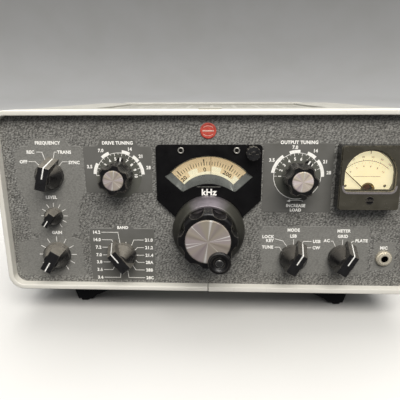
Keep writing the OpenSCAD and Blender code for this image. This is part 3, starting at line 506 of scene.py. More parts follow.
def baked_paint(name, base, rough, metal=0.0):
    """Baked finish on sheet metal, with tiny paler specks and rubbed edges."""
    look = Look(name, specular=0.3, metal=metal)
    specked = look.blend(0.7, 0.64, 0.76, tone(*base), paler(base, 34), 2, most=0.35)
    worn = look.rubbed(0.4, 5, 0.52, 0.66, 0.55)
    look.set(Base_Color=look.mix(worn, specked, tone(118, 112, 104)))
    look.uneven(9, rough - 0.06, rough + 0.12)
    look.relief(look.noise(0.9, 3), 0.03)
    return look.material


def bare_metal(name, base, other, rough, grain=(1, 1, 1), tarnish=0.4, metal=1.0):
    """Uncoated metal with a grain, tarnish and small scratches."""
    look = Look(name, metal=metal)
    fine = look.noise(0.6, 3, 0, grain)
    look.set(Base_Color=look.blend(13, 0.45, 0.75, tone(*base), tone(*other), 5, 0.8, tarnish),
             Roughness=look.span(fine, 0.3, 0.7, rough - 0.07, rough + 0.12))
    look.relief(fine, 0.012)
    look.relief(look.scratches(8, 0.02), -0.02)
    return look.material


def tool_path(look, node):
    """Vectors along the cuts of a turned part: one as long as the radius, one of unit length."""
    low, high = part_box(node)
    offset = look.vector("SUBTRACT", look.position, (low + high) / 2)
    around = look.vector("CROSS_PRODUCT", tuple(INWARD), offset)
    return around, look.vector("NORMALIZE", around)


def spun_skirt(name, node):
    """Turned metal cone: a painted sheen fans out at the top and fades to painted shade at the sides.
    """
    look = Look(name, metal=0.6, specular=0.4)
    tangent = tool_path(look, node)[1]
    height = look.vector("DOT_PRODUCT", tangent, (1, 0, 0))
    # Light at the top of the cone and dark at its sides, fixed while the knob turns: painted sheen and
    # shade.
    shade = look.mix(look.span(height, -0.25, 0.8), tone(34, 33, 31), tone(98, 97, 88))
    shade = look.mix(look.span(height, 0.8, 0.99), shade, tone(146, 138, 144))
    look.set(Base_Color=look.blend(9, 0.4, 0.65, shade, tone(66, 64, 60), warp=0.5, most=0.3),
             Anisotropic=0.5, Tangent=tangent)
    look.uneven(5, 0.28, 0.42)
    return look.material


# Spokes of painted sheen on the turned caps: direction, half width, and strength (dark below nought).
SPOKES = ((8, 0.1, 0.95), (73, 0.045, 1.0), (83, 0.035, 0.9), (135, 0.035, 0.9),
          (108, 0.2, -0.55), (36, 0.2, -0.3))


def spun_metal(name, node, painted_brightness=1.0):
    """Turned aluminium inlay: rings left by the tool, crossed by painted spokes of sheen that stay
    put.
    """
    look = Look(name, metal=0.5)
    around, tangent = tool_path(look, node)
    reach = look.math("MULTIPLY", look.vector("LENGTH", around), 1 / MM)
    ring_place = look.node("ShaderNodeCombineXYZ", {0: reach}).outputs[0]
    rings = look.node("ShaderNodeTexNoise", {"Vector": ring_place, "Scale": 2.6,
                                             "Detail": 4.0}).outputs[0]
    # Warmer and cooler sectors that stay put as the cap turns: a painted tint of reflection.
    warmth = look.node("ShaderNodeTexNoise", {"Vector": tangent, "Scale": 1.3}).outputs[0]
    # The brightness factor scales the whole colour: painted light on the caps that catch more of it.
    cool, warm = (tone(*(painted_brightness * c for c in base)) for base in ((180, 167, 168), (190, 180, 162)))
    silver = look.mix(look.span(warmth, 0.42, 0.58), cool, warm)
    # Each spoke mixes in a painted highlight; a strength below nought paints a dark reflection
    # instead.
    for angle, width, gain in SPOKES:
        radial = PANEL.to_3x3() @ Vector((*polar(1, angle), 0))
        across = look.vector("DOT_PRODUCT", tangent, radial.normalized())
        glow = look.span(look.math("ABSOLUTE", across), width, width * 0.15, 0, abs(gain))
        silver = look.mix(glow, silver, tone(255, 253, 248) if gain > 0 else tone(116, 104, 104))
    look.set(Base_Color=look.mix(look.span(rings, 0.3, 0.7, 0, 0.4), silver, tone(170, 158, 150)),
             Roughness=look.span(rings, 0.25, 0.75, 0.32, 0.46), Anisotropic=0.6, Tangent=tangent)
    look.relief(rings, 0.03)
    return look.material


def socket_screw(name):
    """Plated socket screw: bright ring, with painted shade darkening its recess."""
    look = Look(name, rough=0.3)
    hollow = look.node("ShaderNodeAmbientOcclusion", {"Distance": 1.4 * MM}, samples=8).outputs["AO"]
    plate = look.blend(2, 0.4, 0.7, tone(70, 68, 64), tone(46, 44, 40), 3)
    # Dark and less metallic deep in the recess: painted shade where light can't reach.
    look.set(Base_Color=look.mix(look.span(hollow, 0.45, 0.85), tone(12, 11, 10), plate),
             Metallic=look.span(hollow, 0.45, 0.85, 0.1, 1.0))
    look.relief(look.noise(0.5, 2), 0.02)
    return look.material


def printed_face(name, base, stain, glow, amount=0.35):
    """Lacquered print: foxing, a slow change of tint, and a painted glow as of a lamp behind or beside
    it.
    """
    look = Look(name, specular=0.3)
    tint = look.blend(22, 0.35, 0.7, tone(*base), tone(*stain), 3, most=amount)
    face = look.blend(2.6, 0.6, 0.78, tint, tone(*stain), most=0.3)
    look.set(Base_Color=face, Emission_Color=face, Emission_Strength=glow)
    look.uneven(5, 0.49, 0.63, 3)
    look.relief(look.noise(0.5, 2), 0.006)
    return look.material


def ink(name, base, other, rough=0.5, glow=0.0):
    """Printed or filled marking, slightly uneven, with a painted glow where one is given."""
    look = Look(name, specular=0.3)
    look.set(Base_Color=look.blend(1.6, 0.45, 0.7, tone(*base), tone(*other), 3),
             Emission_Color=tone(*base), Emission_Strength=glow)
    look.uneven(3, rough - 0.08, rough + 0.1, 3)
    look.relief(look.noise(0.4, 2), 0.01)
    return look.material


def clear_pane(name, tint=(246, 247, 243), glare=0.55):
    """Thin clear plastic: see-through, with a glancing reflection, smears and dust."""
    look = Look(name)
    smear = look.span(look.noise(14, 5, 1.2), 0.45, 0.8)
    dust_and_sheen = look.span(look.noise(0.5, 2), 0.7, 0.8, 0, 0.22)
    look.set(Base_Color=tone(226, 222, 212), Roughness=look.span(smear, 0, 1, 0.04, 0.16))
    through = look.node("ShaderNodeBsdfTransparent", {"Color": tone(*tint)}).outputs[0]
    glancing = look.node("ShaderNodeFresnel", {"IOR": 1.46}).outputs[0]
    veil = look.math("ADD", look.math("MULTIPLY", glancing, glare), look.math("MULTIPLY", dust_and_sheen, 0.2))
    mixed = look.node("ShaderNodeMixShader", {0: veil, 1: through, 2: look.shader.outputs[0]})
    look.feed(look.tree.nodes["Material Output"].inputs["Surface"], mixed.outputs[0])
    return look.material


def translucent_resin(name, base, other, rough):
    """Glossy coloured enamel or moulded resin."""
    look = Look(name)
    look.set(Base_Color=look.blend(2.2, 0.4, 0.68, tone(*base), tone(*other)))
    look.uneven(3, rough - 0.08, rough + 0.1)
    look.relief(look.noise(0.7, 3), 0.012)
    return look.material


def rubber(name):
    """Black rubber, dusty in patches."""
    look = Look(name, specular=0.2)
    look.set(Base_Color=look.blend(6, 0.5, 0.8, tone(12, 12, 13), tone(52, 49, 45), 5, most=0.3))
    look.uneven(3, 0.62, 0.82, 3)
    look.relief(look.noise(0.6, 3), 0.04)
    return look.material


CASE = enamel("case_enamel", tone(160, 158, 149), tone(141, 138, 129))
BEZEL = enamel("bezel_enamel", tone(224, 221, 211), tone(196, 193, 181), speckle=0.03)
LACQUER = leather_grain_paint()
PLATEAU = plateau_paint("plateau_lacquer", (104, 103, 99), (95, 94, 89))
DIAL_PLATE = plateau_paint("dial_plate_lacquer", (88, 88, 81), (94, 94, 87))
# The fourth argument paints a sheen on what faces up; the fifth sets how pale the edges are rubbed.
KNOB = moulded_black("moulded_black")
# The glossy knobs have no painted sheen, and their bright edges are painted highlights.
KNOB_GLOSS = moulded_black("moulded_black_gloss", (11, 10, 11), 0.3, 0.0, 1.0, 0.3)
# The mode and meter knobs get less painted sheen.
KNOB_DARK = moulded_black("moulded_black_dim_sheen", dust_and_sheen=0.36)
FLUTED = moulded_black("moulded_black_fluted", (12, 11, 12), 0.3, 0.06, 0.9, 0.45)
PLATE_BLACK = baked_paint("plate_black", (9, 8, 9), 0.32)
SKIRT_GREY = spun_skirt("spun_skirt", "skirt_ring")
FOOT_BLACK = baked_paint("foot_black", (9, 9, 11), 0.55)
METER_CASE = two_tone_case("meter_case", (10, 9, 8), (60, 57, 48))
NEEDLE_PAINT = ink("needle_paint", (112, 98, 80), (92, 80, 66))
GUNMETAL = bare_metal("gunmetal", (118, 120, 116), (86, 86, 80), 0.34)
FRAME_PAINT = baked_paint("frame_gunmetal", (126, 128, 123), 0.26, 0.7)
STEEL = bare_metal("bright_steel", (196, 194, 188), (140, 134, 122), 0.26)
DARK_STEEL = bare_metal("dark_steel", (92, 90, 88), (60, 56, 50), 0.36)
NICKEL = bare_metal("nickel_plate", (222, 214, 198), (160, 150, 128), 0.24, metal=0.75)
CHASSIS = bare_metal("plated_chassis", (188, 182, 158), (140, 128, 96), 0.38)
SHIELD = bare_metal("tube_shield", (174, 174, 170), (120, 116, 108), 0.3, (1, 1, 8))
SCREW = socket_screw("socket_screw")
JACK = jack_metal("jack_plate", "mic_jack", MIC)
RIM_METAL = bare_metal("rim_metal", (166, 163, 156), (130, 126, 118), 0.3, tarnish=0.2, metal=0.5)
LENS_EDGE_HIGHLIGHT = bare_metal("lens_edge_highlight", (150, 144, 144), (118, 112, 108), 0.22, tarnish=0.3, metal=0.3)
DARK_CHROME = bare_metal("dark_chrome", (120, 118, 116), (80, 78, 74), 0.14, tarnish=0.2)
BRASS = bare_metal("brass", (206, 172, 108), (138, 108, 60), 0.3, metal=0.8)
COPPER = bare_metal("copper_wire", (196, 118, 78), (128, 66, 40), 0.34)
PHENOLIC = translucent_resin("phenolic_board", (112, 70, 38), (84, 48, 26), 0.42)
COIL_FORM = translucent_resin("coil_form", (206, 196, 170), (178, 164, 134), 0.46)
LAMP = translucent_resin("lamp_glass", (246, 214, 150), (226, 178, 104), 0.16)
BADGE_RED = translucent_resin("badge_red", (196, 84, 70), (176, 62, 52), 0.36)
BADGE_PALE = ink("badge_pale", (226, 190, 176), (206, 160, 146))
# The glow of the meter and dial faces is painted light.
CREAM = printed_face("meter_cream", (244, 238, 214), (232, 218, 178), 0.8)
DIAL_WHITE = printed_face("dial_white", (246, 236, 222), (240, 224, 200), 0.95)
DIAL_AMBER = printed_face("dial_amber", (240, 212, 182), (222, 192, 158), 0.85, 0.6)
# The white legends carry a faint painted glow, as if catching more light.
WHITE_INK = ink("white_ink", (240, 238, 232), (222, 219, 210), glow=0.14)
BLACK_INK = ink("black_ink", (34, 30, 28), (52, 46, 40))
EDGE_HIGHLIGHT = plateau_paint("edge_highlight_lacquer", (150, 149, 144), (136, 135, 129))
GREY_INK = ink("grey_ink", (128, 128, 122), (116, 115, 108))
FILL_WHITE = ink("knob_line_fill", (244, 243, 238), (226, 224, 216), 0.42)
PANE = clear_pane("clear_pane")
PANE_METER = clear_pane("meter_pane", (250, 248, 240), 0.9)
RUBBER = rubber("foot_rubber")
HAIR = ink("hairline", (104, 62, 40), (84, 52, 34))


# ---- Panel skin: leather-grain lacquer with smooth areas round the controls ----

SKIN_EDGE = 182.9               # half the width of the skin
SKIN_BOTTOM, SKIN_TOP = 4.6, 160.1
SKIN_CORNER = 9.4
SKIN_STEP = 0.8                 # pitch of the skin's mesh
GRAIN = 1.9                     # size of one pebble of the grain
CALM_LEVEL, CALM_SHARE = 0.66, 0.7      # height and flatness of the grain round small controls
PLATEAU_TOP = 0.54
INK_TOP = 0.62


def pebble_height(x, y):
    """Height 0..1 of the leather grain at arrays of panel points: long pebbles on a slant."""
    slope = y + 5 * np.sin(x / 19) + 2.4 * np.sin((x + y) / 8.3)
    u = (x * 0.94 - slope * 0.34) / (GRAIN * 1.5)
    v = (x * 0.34 + slope * 0.94) / (GRAIN * 0.82)
    rng = np.random.default_rng(7)
    size = 512
    jitter = rng.uniform(0.1, 0.9, (size, size, 2))
    lift = rng.uniform(0.72, 1.0, (size, size))
    nearest, second = np.full(x.shape, 9.0), np.full(x.shape, 9.0)
    crest = np.ones(x.shape)
    cell_u, cell_v = np.floor(u).astype(int), np.floor(v).astype(int)
    for du in (-1, 0, 1):
        for dv in (-1, 0, 1):
            i, j = (cell_u + du) % size, (cell_v + dv) % size
            gap = np.hypot(cell_u + du + jitter[i, j, 0] - u, cell_v + dv + jitter[i, j, 1] - v)
            closer = gap < nearest
            second = np.where(closer, nearest, np.minimum(second, gap))
            crest = np.where(closer, lift[i, j], crest)
            nearest = np.where(closer, gap, nearest)
    return np.clip((second - nearest) * 2.2, 0, 1) ** 0.75 * crest


def rounded_box_gap(x, y, half_x, low, high, radius):
    """Signed distance outside a rounded box, and its gradient."""
    mid, half_y = (low + high) / 2, (high - low) / 2
    dx, dy = np.abs(x) - (half_x - radius), np.abs(y - mid) - (half_y - radius)
    ox, oy = np.maximum(dx, 0), np.maximum(dy, 0)
    return np.hypot(ox, oy) - radius, ox * np.sign(x), oy * np.sign(y - mid)


PLATE_CHAMFER = 17              # how far the dial plate's lower corners are cut off


def skin_hole(x, y):
    """True where the skin is cut away, under parts that stand on the panel."""
    hole = np.hypot(x - TUNING[0], y - TUNING[1]) < 29
    for centre in (SOURCE, CALIBRATE, GAIN, BAND, DRIVE, MODE, OUTPUT, METER_SWITCH):
        hole |= np.hypot(x - centre[0], y - centre[1]) < 5.6
    hole |= np.hypot(x - MIC[0], y - MIC[1]) < 6
    for node, margin in (("dial_escutcheon", 3.0), ("meter_case", 2.0)):
        low, high = level_extent(node)
        covered = (x > low[0] + margin) & (x < high[0] - margin)
        covered &= (y > low[2] + margin) & (y < high[2] - margin)
        if node == "dial_escutcheon":
            covered &= np.abs(x) < high[0] - margin - np.maximum(0, low[2] + PLATE_CHAMFER - y)
        hole |= covered
    return hole


def inside(outline, x, y):
    """True where arrays of panel points lie within an outline."""
    within = np.zeros(x.shape, bool)
    for (x0, y0), (x1, y1) in zip(outline, outline[1:] + outline[:1]):
        if y0 != y1:
            across = ((y0 > y) != (y1 > y)) & (x < (x1 - x0) * (y - y0) / (y1 - y0) + x0)
            within ^= across
    return within


def calm(x, y):
    """How far the grain is pressed flat, 0..1, round the legends that have no plateau."""
    flat = np.zeros(x.shape)
    for outline in SMOOTH_AREAS:
        flat = np.maximum(flat, inside(outline, x, y))
    for _ in range(2):
        flat[1:-1, 1:-1] = (flat[:-2, 1:-1] + flat[2:, 1:-1] + flat[1:-1, :-2] + flat[1:-1, 2:]
                            + flat[1:-1, 1:-1] * 2) / 6
    return flat


def cell_middle(a):
    """Mean of the corners of each cell of a grid."""
    return (a[:-1, :-1] + a[1:, :-1] + a[1:, 1:] + a[:-1, 1:]) / 4


def grain_skin():
    """The skin as one closed sheet: a grained top, and a flat back against the panel."""
    xs = np.arange(-SKIN_EDGE, SKIN_EDGE + SKIN_STEP, SKIN_STEP)
    ys = np.arange(SKIN_BOTTOM, SKIN_TOP + SKIN_STEP, SKIN_STEP)
    x, y = np.meshgrid(np.minimum(xs, SKIN_EDGE), np.minimum(ys, SKIN_TOP), indexing="ij")
    gap, away_x, away_y = rounded_box_gap(x, y, SKIN_EDGE, SKIN_BOTTOM, SKIN_TOP, SKIN_CORNER)
    past = gap > 0
    reach = np.hypot(away_x, away_y) + 1e-9
    x, y = np.where(past, x - away_x / reach * gap, x), np.where(past, y - away_y / reach * gap, y)
    pebbles = pebble_height(x, y)
    flat = calm(x, y)
    pebbles = pebbles + (CALM_LEVEL - pebbles) * CALM_SHARE * flat
    z = GRAIN_LOW + (GRAIN_HIGH - GRAIN_LOW) * pebbles
    keep = ~skin_hole(cell_middle(x), cell_middle(y)) & (cell_middle(gap) < SKIN_STEP / 2)
    shape = Shape()
    pressed = shape.bm.verts.layers.float.new("pressed")
    used = {}

    def vertex(i, j):
        if (i, j) not in used:
            used[i, j] = shape.bm.verts.new((x[i, j], y[i, j], z[i, j]))
            used[i, j][pressed] = flat[i, j]
        return used[i, j]

    for i, j in np.argwhere(keep):
        shape.bm.faces.new((vertex(i, j), vertex(i + 1, j), vertex(i + 1, j + 1), vertex(i, j + 1)))
    rim = [edge for edge in shape.bm.edges if edge.is_boundary]
    walls = bmesh.ops.extrude_edge_only(shape.bm, edges=rim)["geom"]
    foot = [part for part in walls if isinstance(part, bmesh.types.BMVert)]
    for vert in foot:
        vert.co.z = 0.01
    back = [part for part in walls if isinstance(part, bmesh.types.BMEdge) and part.is_boundary]
    bmesh.ops.triangle_fill(shape.bm, use_beauty=True, edges=back)
    return shape.finish("grain_skin", "cabinet", LACQUER, smooth_angle=60, slot="panel_grain")


def inset_outline(points, depth):
    """Moves an anticlockwise outline inwards, with mitred corners."""
    moved = []
    for i, p in enumerate(points):
        here, back, on = Vector(p), Vector(points[i - 1]), Vector(points[(i + 1) % len(points)])
        first, second = (here - back).normalized(), (on - here).normalized()
        inward = Vector((-first.y - second.y, first.x + second.x))
        inward.normalize()
        square = max(0.5, inward.dot(Vector((-first.y, first.x))))
        moved.append(tuple(here + inward * depth / square))
    return moved


def plateau(shape, outline, low=0.02, edge=0.42, top=PLATEAU_TOP, slope=0.55):
    """A smooth raised area with a sloping rim."""
    points = anticlockwise(outline)
    inner = inset_outline(points, slope)
    shape.loft([[(*p, low) for p in points], [(*p, edge) for p in points],
                [(*p, top) for p in inner]])


def tabbed_box(x, ys, tab_x, tab_y, shoulder):
    """Box outline from corner values, with a narrower tab on its top edge."""
    return [(x[0], ys[0]), (x[1], ys[0]), (x[1], ys[1]), (shoulder[1], ys[1]), (tab_x[1], tab_y),
            (tab_x[0], tab_y), (shoulder[0], ys[1]), (x[0], ys[1])]


SOURCE_AREA = [(-165.7, 80.5), (-118, 80.5), (-110.4, 96), (-110.4, 131.6), (-113.4, 133.5),
               (-122.2, 133.8), (-126.1, 140), (-155.4, 140), (-159.3, 133.4), (-165.7, 133.4),
               (-172, 128), (-172, 96)]
CALIBRATE_AREA = [(-165, 53), (-119, 53), (-119, 80), (-124, 85.3), (-155.6, 85.3), (-165, 80)]
GAIN_AREA = [(-179, 10.6), (-118, 10.6), (-118, 46.4), (-127, 49.2), (-127, 52.6), (-157.2, 52.6),
             (-157.2, 48.4), (-164, 47.2), (-179, 43)]
BAND_AREA = tabbed_box((-110, -50), (7.2, 58.3), (-84.9, -72.1), 62.2, (-88.2, -69.2))
DRIVE_AREA = tabbed_box((-110, -50), (92, 133.7), (-94, -65), 140, (-97.5, -61.5))
OUTPUT_AREA = tabbed_box((47.4, 107.5), (75, 136.6), (64.5, 90.5), 140.6, (61, 94))
MODE_AREA = [(50.2, 16), (144.7, 16), (144.7, 57.3), (142.3, 62), (50.4, 61.1), (45.5, 57)]
MIC_AREA = [(149.6, 20), (168.6, 20), (168.6, 46.2), (166.4, 47.6), (151.6, 47.4), (149.6, 46.2)]
SMOOTH_AREAS = (SOURCE_AREA, CALIBRATE_AREA, GAIN_AREA, MODE_AREA, MIC_AREA)


def plateaus():
    """Smooth areas that stand proud, with the darker round plates under two of the knobs."""
    shape = Shape()
    for outline in (DRIVE_AREA, OUTPUT_AREA, BAND_AREA):
        plateau(shape, round_corners(outline, 2.2))
    shape.finish("panel_plateaus", "cabinet", PLATEAU, smooth_angle=12, slot="panel_grain")
    shape = Shape()
    for centre, radius in ((DRIVE, 20.2), (OUTPUT, 20.4)):
        shape.washer(6, radius, 0.1, PLATEAU_TOP + 0.02, on_panel(centre))
    shape.finish("panel_dial_plates", "cabinet", DIAL_PLATE, smooth_angle=30, slot="panel_grain")


# Upper edges of the smooth areas, which carry the painted highlights.
EDGES = ([(-165.7, 133.4), (-159.3, 133.4), (-156.4, 138.6)],
         [(-125.2, 138.6), (-122.2, 133.8), (-113.4, 133.5), (-110.4, 131.2)],
         [(-159, 83.6), (-155.5, 85.1), (-153.4, 85.4)], [(-128.4, 85.3), (-125.3, 83.6)],
         [(-163.8, 47.2), (-157.3, 48.3)], [(-126.8, 49.2), (-118.1, 46.5)],
         [(48.4, 59.6), (50.4, 61.1), (69, 61.4)], [(86, 61.6), (113, 61.8)],
         [(131, 62), (142.3, 62), (144.7, 57.3)], [(150.7, 46.8), (151.6, 47.3)],
         [(163.6, 47.5), (166.4, 47.5), (168, 46.4)],
         [(-110, 55), (-110, 57.4), (-108.6, 58.4), (-89.2, 58.4)], [(-68.6, 58.4), (-52, 58.4)])


def pressed_edges():
    """Pale ridges where the smooth areas were pressed into the grain: painted highlights on upper
    edges.
    """
    shape = Shape()
    for points in EDGES:
        shape.line(points, 0.5, 0.3, PLATEAU_TOP + 0.06)
    shape.finish("pressed_edges", "cabinet", EDGE_HIGHLIGHT, slot="panel_grain")


# ---- Panel legends ----

CAPS = 2.7                      # height of the legends' capitals
STROKE = 0.42                   # width of the legends' lines
LETTER_WIDTH, LETTER_WEIGHT = 0.94, 0.17


class Legend(Shape):
    """White silk-screened markings of the panel."""

    low, high = 0.4, INK_TOP

    def words(self, text, at, height=CAPS, align="CENTER", turn=0.0):
        self.text(text, height, at, self.low, self.high, align, turn, LETTER_WIDTH, LETTER_WEIGHT)

    def labels(self, centre, *rows):
        """Words round a point: text, x, y and, where it isn't centred, its alignment."""
        for text, x, y, *align in rows:
            self.words(text, beside(centre, x, y), CAPS, *(align or ["CENTER"]))

    def leaders(self, centre, *paths):
        """Thin lines from the words to a control."""
        for points in paths:
            moved = [beside(centre, x, y) for x, y in points]
            self.line(moved, STROKE, self.low, self.high)

    def tick(self, centre, angle, start, end, width=STROKE):
        self.line([polar(start, angle, centre), polar(end, angle, centre)], width, self.low, self.high)

    def arc(self, centre, inner, outer, start, end):
        self.band(inner, outer, start, end, self.low, self.high, on_panel(centre))


def beside(centre, x, y):
    return centre[0] + x, centre[1] + y


def source_legend(art):
    art.labels(SOURCE, ("FREQUENCY", 0, 28.9), ("REC", -12.4, 20.8, "RIGHT"),
               ("TRANS", 8.2, 20.8, "LEFT"), ("OFF", -19.6, 12.2, "RIGHT"),
               ("SYNC", 17.4, 11.6, "LEFT"))
    art.leaders(SOURCE, [(-10.7, 20.8), (-5.6, 20.8), (-3.3, 12.8)],
                [(7.4, 20.8), (5.5, 20.8), (4.1, 15.6)],
                [(-18.5, 12.3), (-12.5, 12.3), (-8.8, 8.4)], [(16.6, 12.3), (12, 12.3), (7.8, 7.9)])


def level_legends(art):
    for i in range(-5, 6):
        art.tick(CALIBRATE, 30 * i, 8.6, 12.3)
        art.tick(GAIN, 30 * i, 13, 17.6)
    art.labels(CALIBRATE, ("LEVEL", -1.2, 17.5))
    art.labels(GAIN, ("GAIN", 0.9, 21.6))


BAND_ROWS = (22.3, 15.0, 7.6, 0.0, -7.1, -14.8, -22.7)
BAND_LEFT = ("14.2", "14.0", "7.2", "7.0", "3.8", "3.6", "3.4")
BAND_RIGHT = ("", "21.0", "21.2", "21.4", "28A", "28B", "28C")
BAND_ELBOWS = (4.1, 10.2, 13.2, 16.0, 13.2, 11.0, 4.0)
BAND_FIRST, BAND_STEP = 12.86, 25.71    # angles of the band switch's positions


def band_legend(art):
    art.words("BAND", beside(BAND, 0.5, 27.0), CAPS * 0.95)
    dot = [Vector(polar(0.45, 60 * k)) for k in range(6)]
    for side, labels, align in ((-1, BAND_LEFT, "RIGHT"), (1, BAND_RIGHT, "LEFT")):
        for i, (label, row, elbow) in enumerate(zip(labels, BAND_ROWS, BAND_ELBOWS)):
            angle = side * (BAND_FIRST + BAND_STEP * i)
            if label:
                art.words(label, beside(BAND, side * 20.6, row), CAPS * 1.05, align)
                art.leaders(BAND, [(side * 19.4, row), (side * elbow, row), polar(13.3, angle)])
            middle = Vector(polar(12.8, angle, BAND))
            art.prism([tuple(middle + p) for p in dot], art.low, art.high)


def tuning_dial_legend(art, centre, radius, start, end, bands, last):
    """Numbered arc of a tuning control, with thick band blocks outside it."""
    art.arc(centre, radius - STROKE / 2, radius + STROKE / 2, start, end)
    for first, final in bands:
        art.arc(centre, radius, radius + 2.7, first, final)
    for number in range(1, last + 1):
        angle = -90 + 20 * (number - 1)
        art.tick(centre, angle, radius - 2.6, radius, STROKE * 0.9)
        if number < last:
            art.tick(centre, angle + 10, radius - 1.5, radius, STROKE * 0.7)
        art.words(str(number), polar(radius - 5.1, angle, centre), 2.5, turn=angle)


def drive_legend(art):
    bands = ((-86, -60), (-42, -22), (9, 28), (37, 54), (57, 87))
    tuning_dial_legend(art, DRIVE, 20.2, -90, 90, bands, 10)
    art.labels((0, 0), ("DRIVE TUNING", -79.5, 136.6), ("3.5", -105.3, 115.7), ("7.0", -94.6, 130),
               ("14", -69, 131.2), ("21", -59.4, 125), ("28", -53, 115))


def output_legend(art):
    bands = ((-82, -36), (-20, 4), (21, 42), (50, 91))
    tuning_dial_legend(art, OUTPUT, 20.4, -180, 180, bands, 9)
    art.labels((0, 0), ("OUTPUT TUNING", 77.4, 137.2), ("3.5", 54.6, 122), ("7.0", 74, 133),
               ("14", 91.4, 130), ("21", 100.4, 120.6), ("28", 104, 111))
    art.words("INCREASE", (77.1, 81.2), CAPS * 0.95)
    art.words("LOAD", (77.1, 77.2), CAPS * 0.95)
    arrow = on_panel((77.1, 85.9))
    art.line([(-6, -0.4), (-3, 0.3), (3, 0.3), (6.4, -0.6)], STROKE, art.low, art.high, arrow)
    art.prism([(-8, -0.6), (-5, 1.2), (-5.2, -1.6)], art.low, art.high, arrow)


def mode_legend(art):
    art.labels(MODE, ("MODE", -0.5, 26), ("LOCK", -18, 19.5, "RIGHT"), ("KEY", -18, 15.8, "RIGHT"),
               ("TUNE", -18.2, 9.4, "RIGHT"), ("LSB", -0.4, 20.3), ("USB", 17.4, 15.3, "LEFT"),
               ("CW", 17.4, 9.2, "LEFT"))
    art.leaders(MODE, [(-16.8, 17.4), (-9.4, 15.4), polar(12, -30)],
                [(-16.8, 9.4), (-12.4, 9.4), polar(12.2, -60)], [(0, 17.2), (0, 12.2)],
                [(16.2, 15.3), (9.0, 15.3), polar(12.2, 30)],
                [(16.2, 9.2), (12.8, 9.2), polar(12.2, 60)])


def meter_switch_legend(art):
    art.labels(METER_SWITCH, ("METER", 0.3, 25.6), ("AC", -11.6, 16.2, "RIGHT"),
               ("GRID", -0.2, 20.4), ("PLATE", 11.2, 16.4, "LEFT"))
    art.leaders(METER_SWITCH, [(-10.6, 15.8), (-8.6, 15.8), polar(12.2, -30)],
                [(0, 17.4), (0, 12.2)], [(10.2, 16), (8.6, 15.6), polar(12.2, 30)])


def panel_legends():
    art = Legend()
    for draw in (source_legend, level_legends, band_legend, drive_legend, output_legend,
                 mode_legend, meter_switch_legend):
        draw(art)
    art.labels(MIC, ("MIC", -0.5, 9.7))
    art.finish("panel_legends", "cabinet", WHITE_INK)


# ---- Dial: bevelled window, printed disc and hairline ----

FRAME_TOP = 2.75                # front edge of the bevel, out of the panel
FRAME_FLOOR = 0.06              # foot of the frame
WINDOW_INNER, WINDOW_OUTER, WINDOW_HALF = 30.2, 45.5, 46.0


def between(first, last, count):
    return [tuple(Vector(first).lerp(Vector(last), i / count)) for i in range(count)]


def mirrored(p):
    return -p[0], p[1]


def window_frame():
    """Frame that slopes in from the plate to the fan-shaped window."""
    low_left, mid_left, top_left = (-25.2, 16.23), (-38.5, 28.5), (-34.6, 31.9)
    turn = [(-24.13, 15.41), (-23.13, 14.99), (-22.18, 14.95)]      # rounded lower corner
    corner_low = polar(WINDOW_INNER, -WINDOW_HALF)
    corner_top = polar(WINDOW_OUTER, -WINDOW_HALF)
    crown = sweep(46.7, -47.5, 47.5, 4)[1:-1]
    rail = [(x, 22 - 7.8 * (x / 23) ** 2) for x in np.linspace(21.3, -21.3, 15)]
    left = between(low_left, mid_left, 8) + between(mid_left, top_left, 4) + [top_left]
    right = between(mirrored(top_left), mirrored(mid_left), 4)
    right += between(mirrored(mid_left), mirrored(low_left), 8) + [mirrored(low_left)]
    outer = left + crown + right + [mirrored(p) for p in turn] + rail + turn[::-1]
    slide = between(corner_low, corner_top, 8)
    arc = [polar(WINDOW_OUTER, angle) for angle in
           np.linspace(-WINDOW_HALF, WINDOW_HALF, len(crown) + 2)[1:-1]]
    floor = [polar(WINDOW_INNER, angle) for angle in np.linspace(WINDOW_HALF, -WINDOW_HALF, 17)[1:-1]]
    inner = (slide + [corner_top] * 5 + arc + [mirrored(corner_top)] * 4
             + [mirrored(p) for p in reversed(slide[1:] + [corner_top])] + [mirrored(corner_low)] * 4
             + floor + [corner_low] * 3)
    shape = Shape()
    shrink = inset_outline(list(reversed(outer)), 0.12)[::-1]
    rings = []
    for share, height in ((0, FRAME_FLOOR), (0, FRAME_TOP), (0.07, FRAME_TOP), (0.93, 0.5),
                          (1, 0.45), (1, FRAME_FLOOR)):
        rings.append([(*Vector(a).lerp(Vector(b), share), height) for a, b in zip(shrink, inner)])
    shape.loft(rings, on_panel(DIAL), loop=True)
    piece = shape.finish("window_frame", "cabinet", FRAME_PAINT, smooth_angle=24, slot="dark_metal")
    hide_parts("window_bezel")


DIAL_FACE = out_of("dial_disc")
DIAL_ZERO = -6.5                # where the dial's zero stands
DIAL_STEP = 36.0                # angle between numbered marks
DIAL_NUMBERS = ["0"] + [str(200 - 20 * i) for i in range(8)] + ["20"]
DIAL_STEPS = 180                # facets of its round sheets


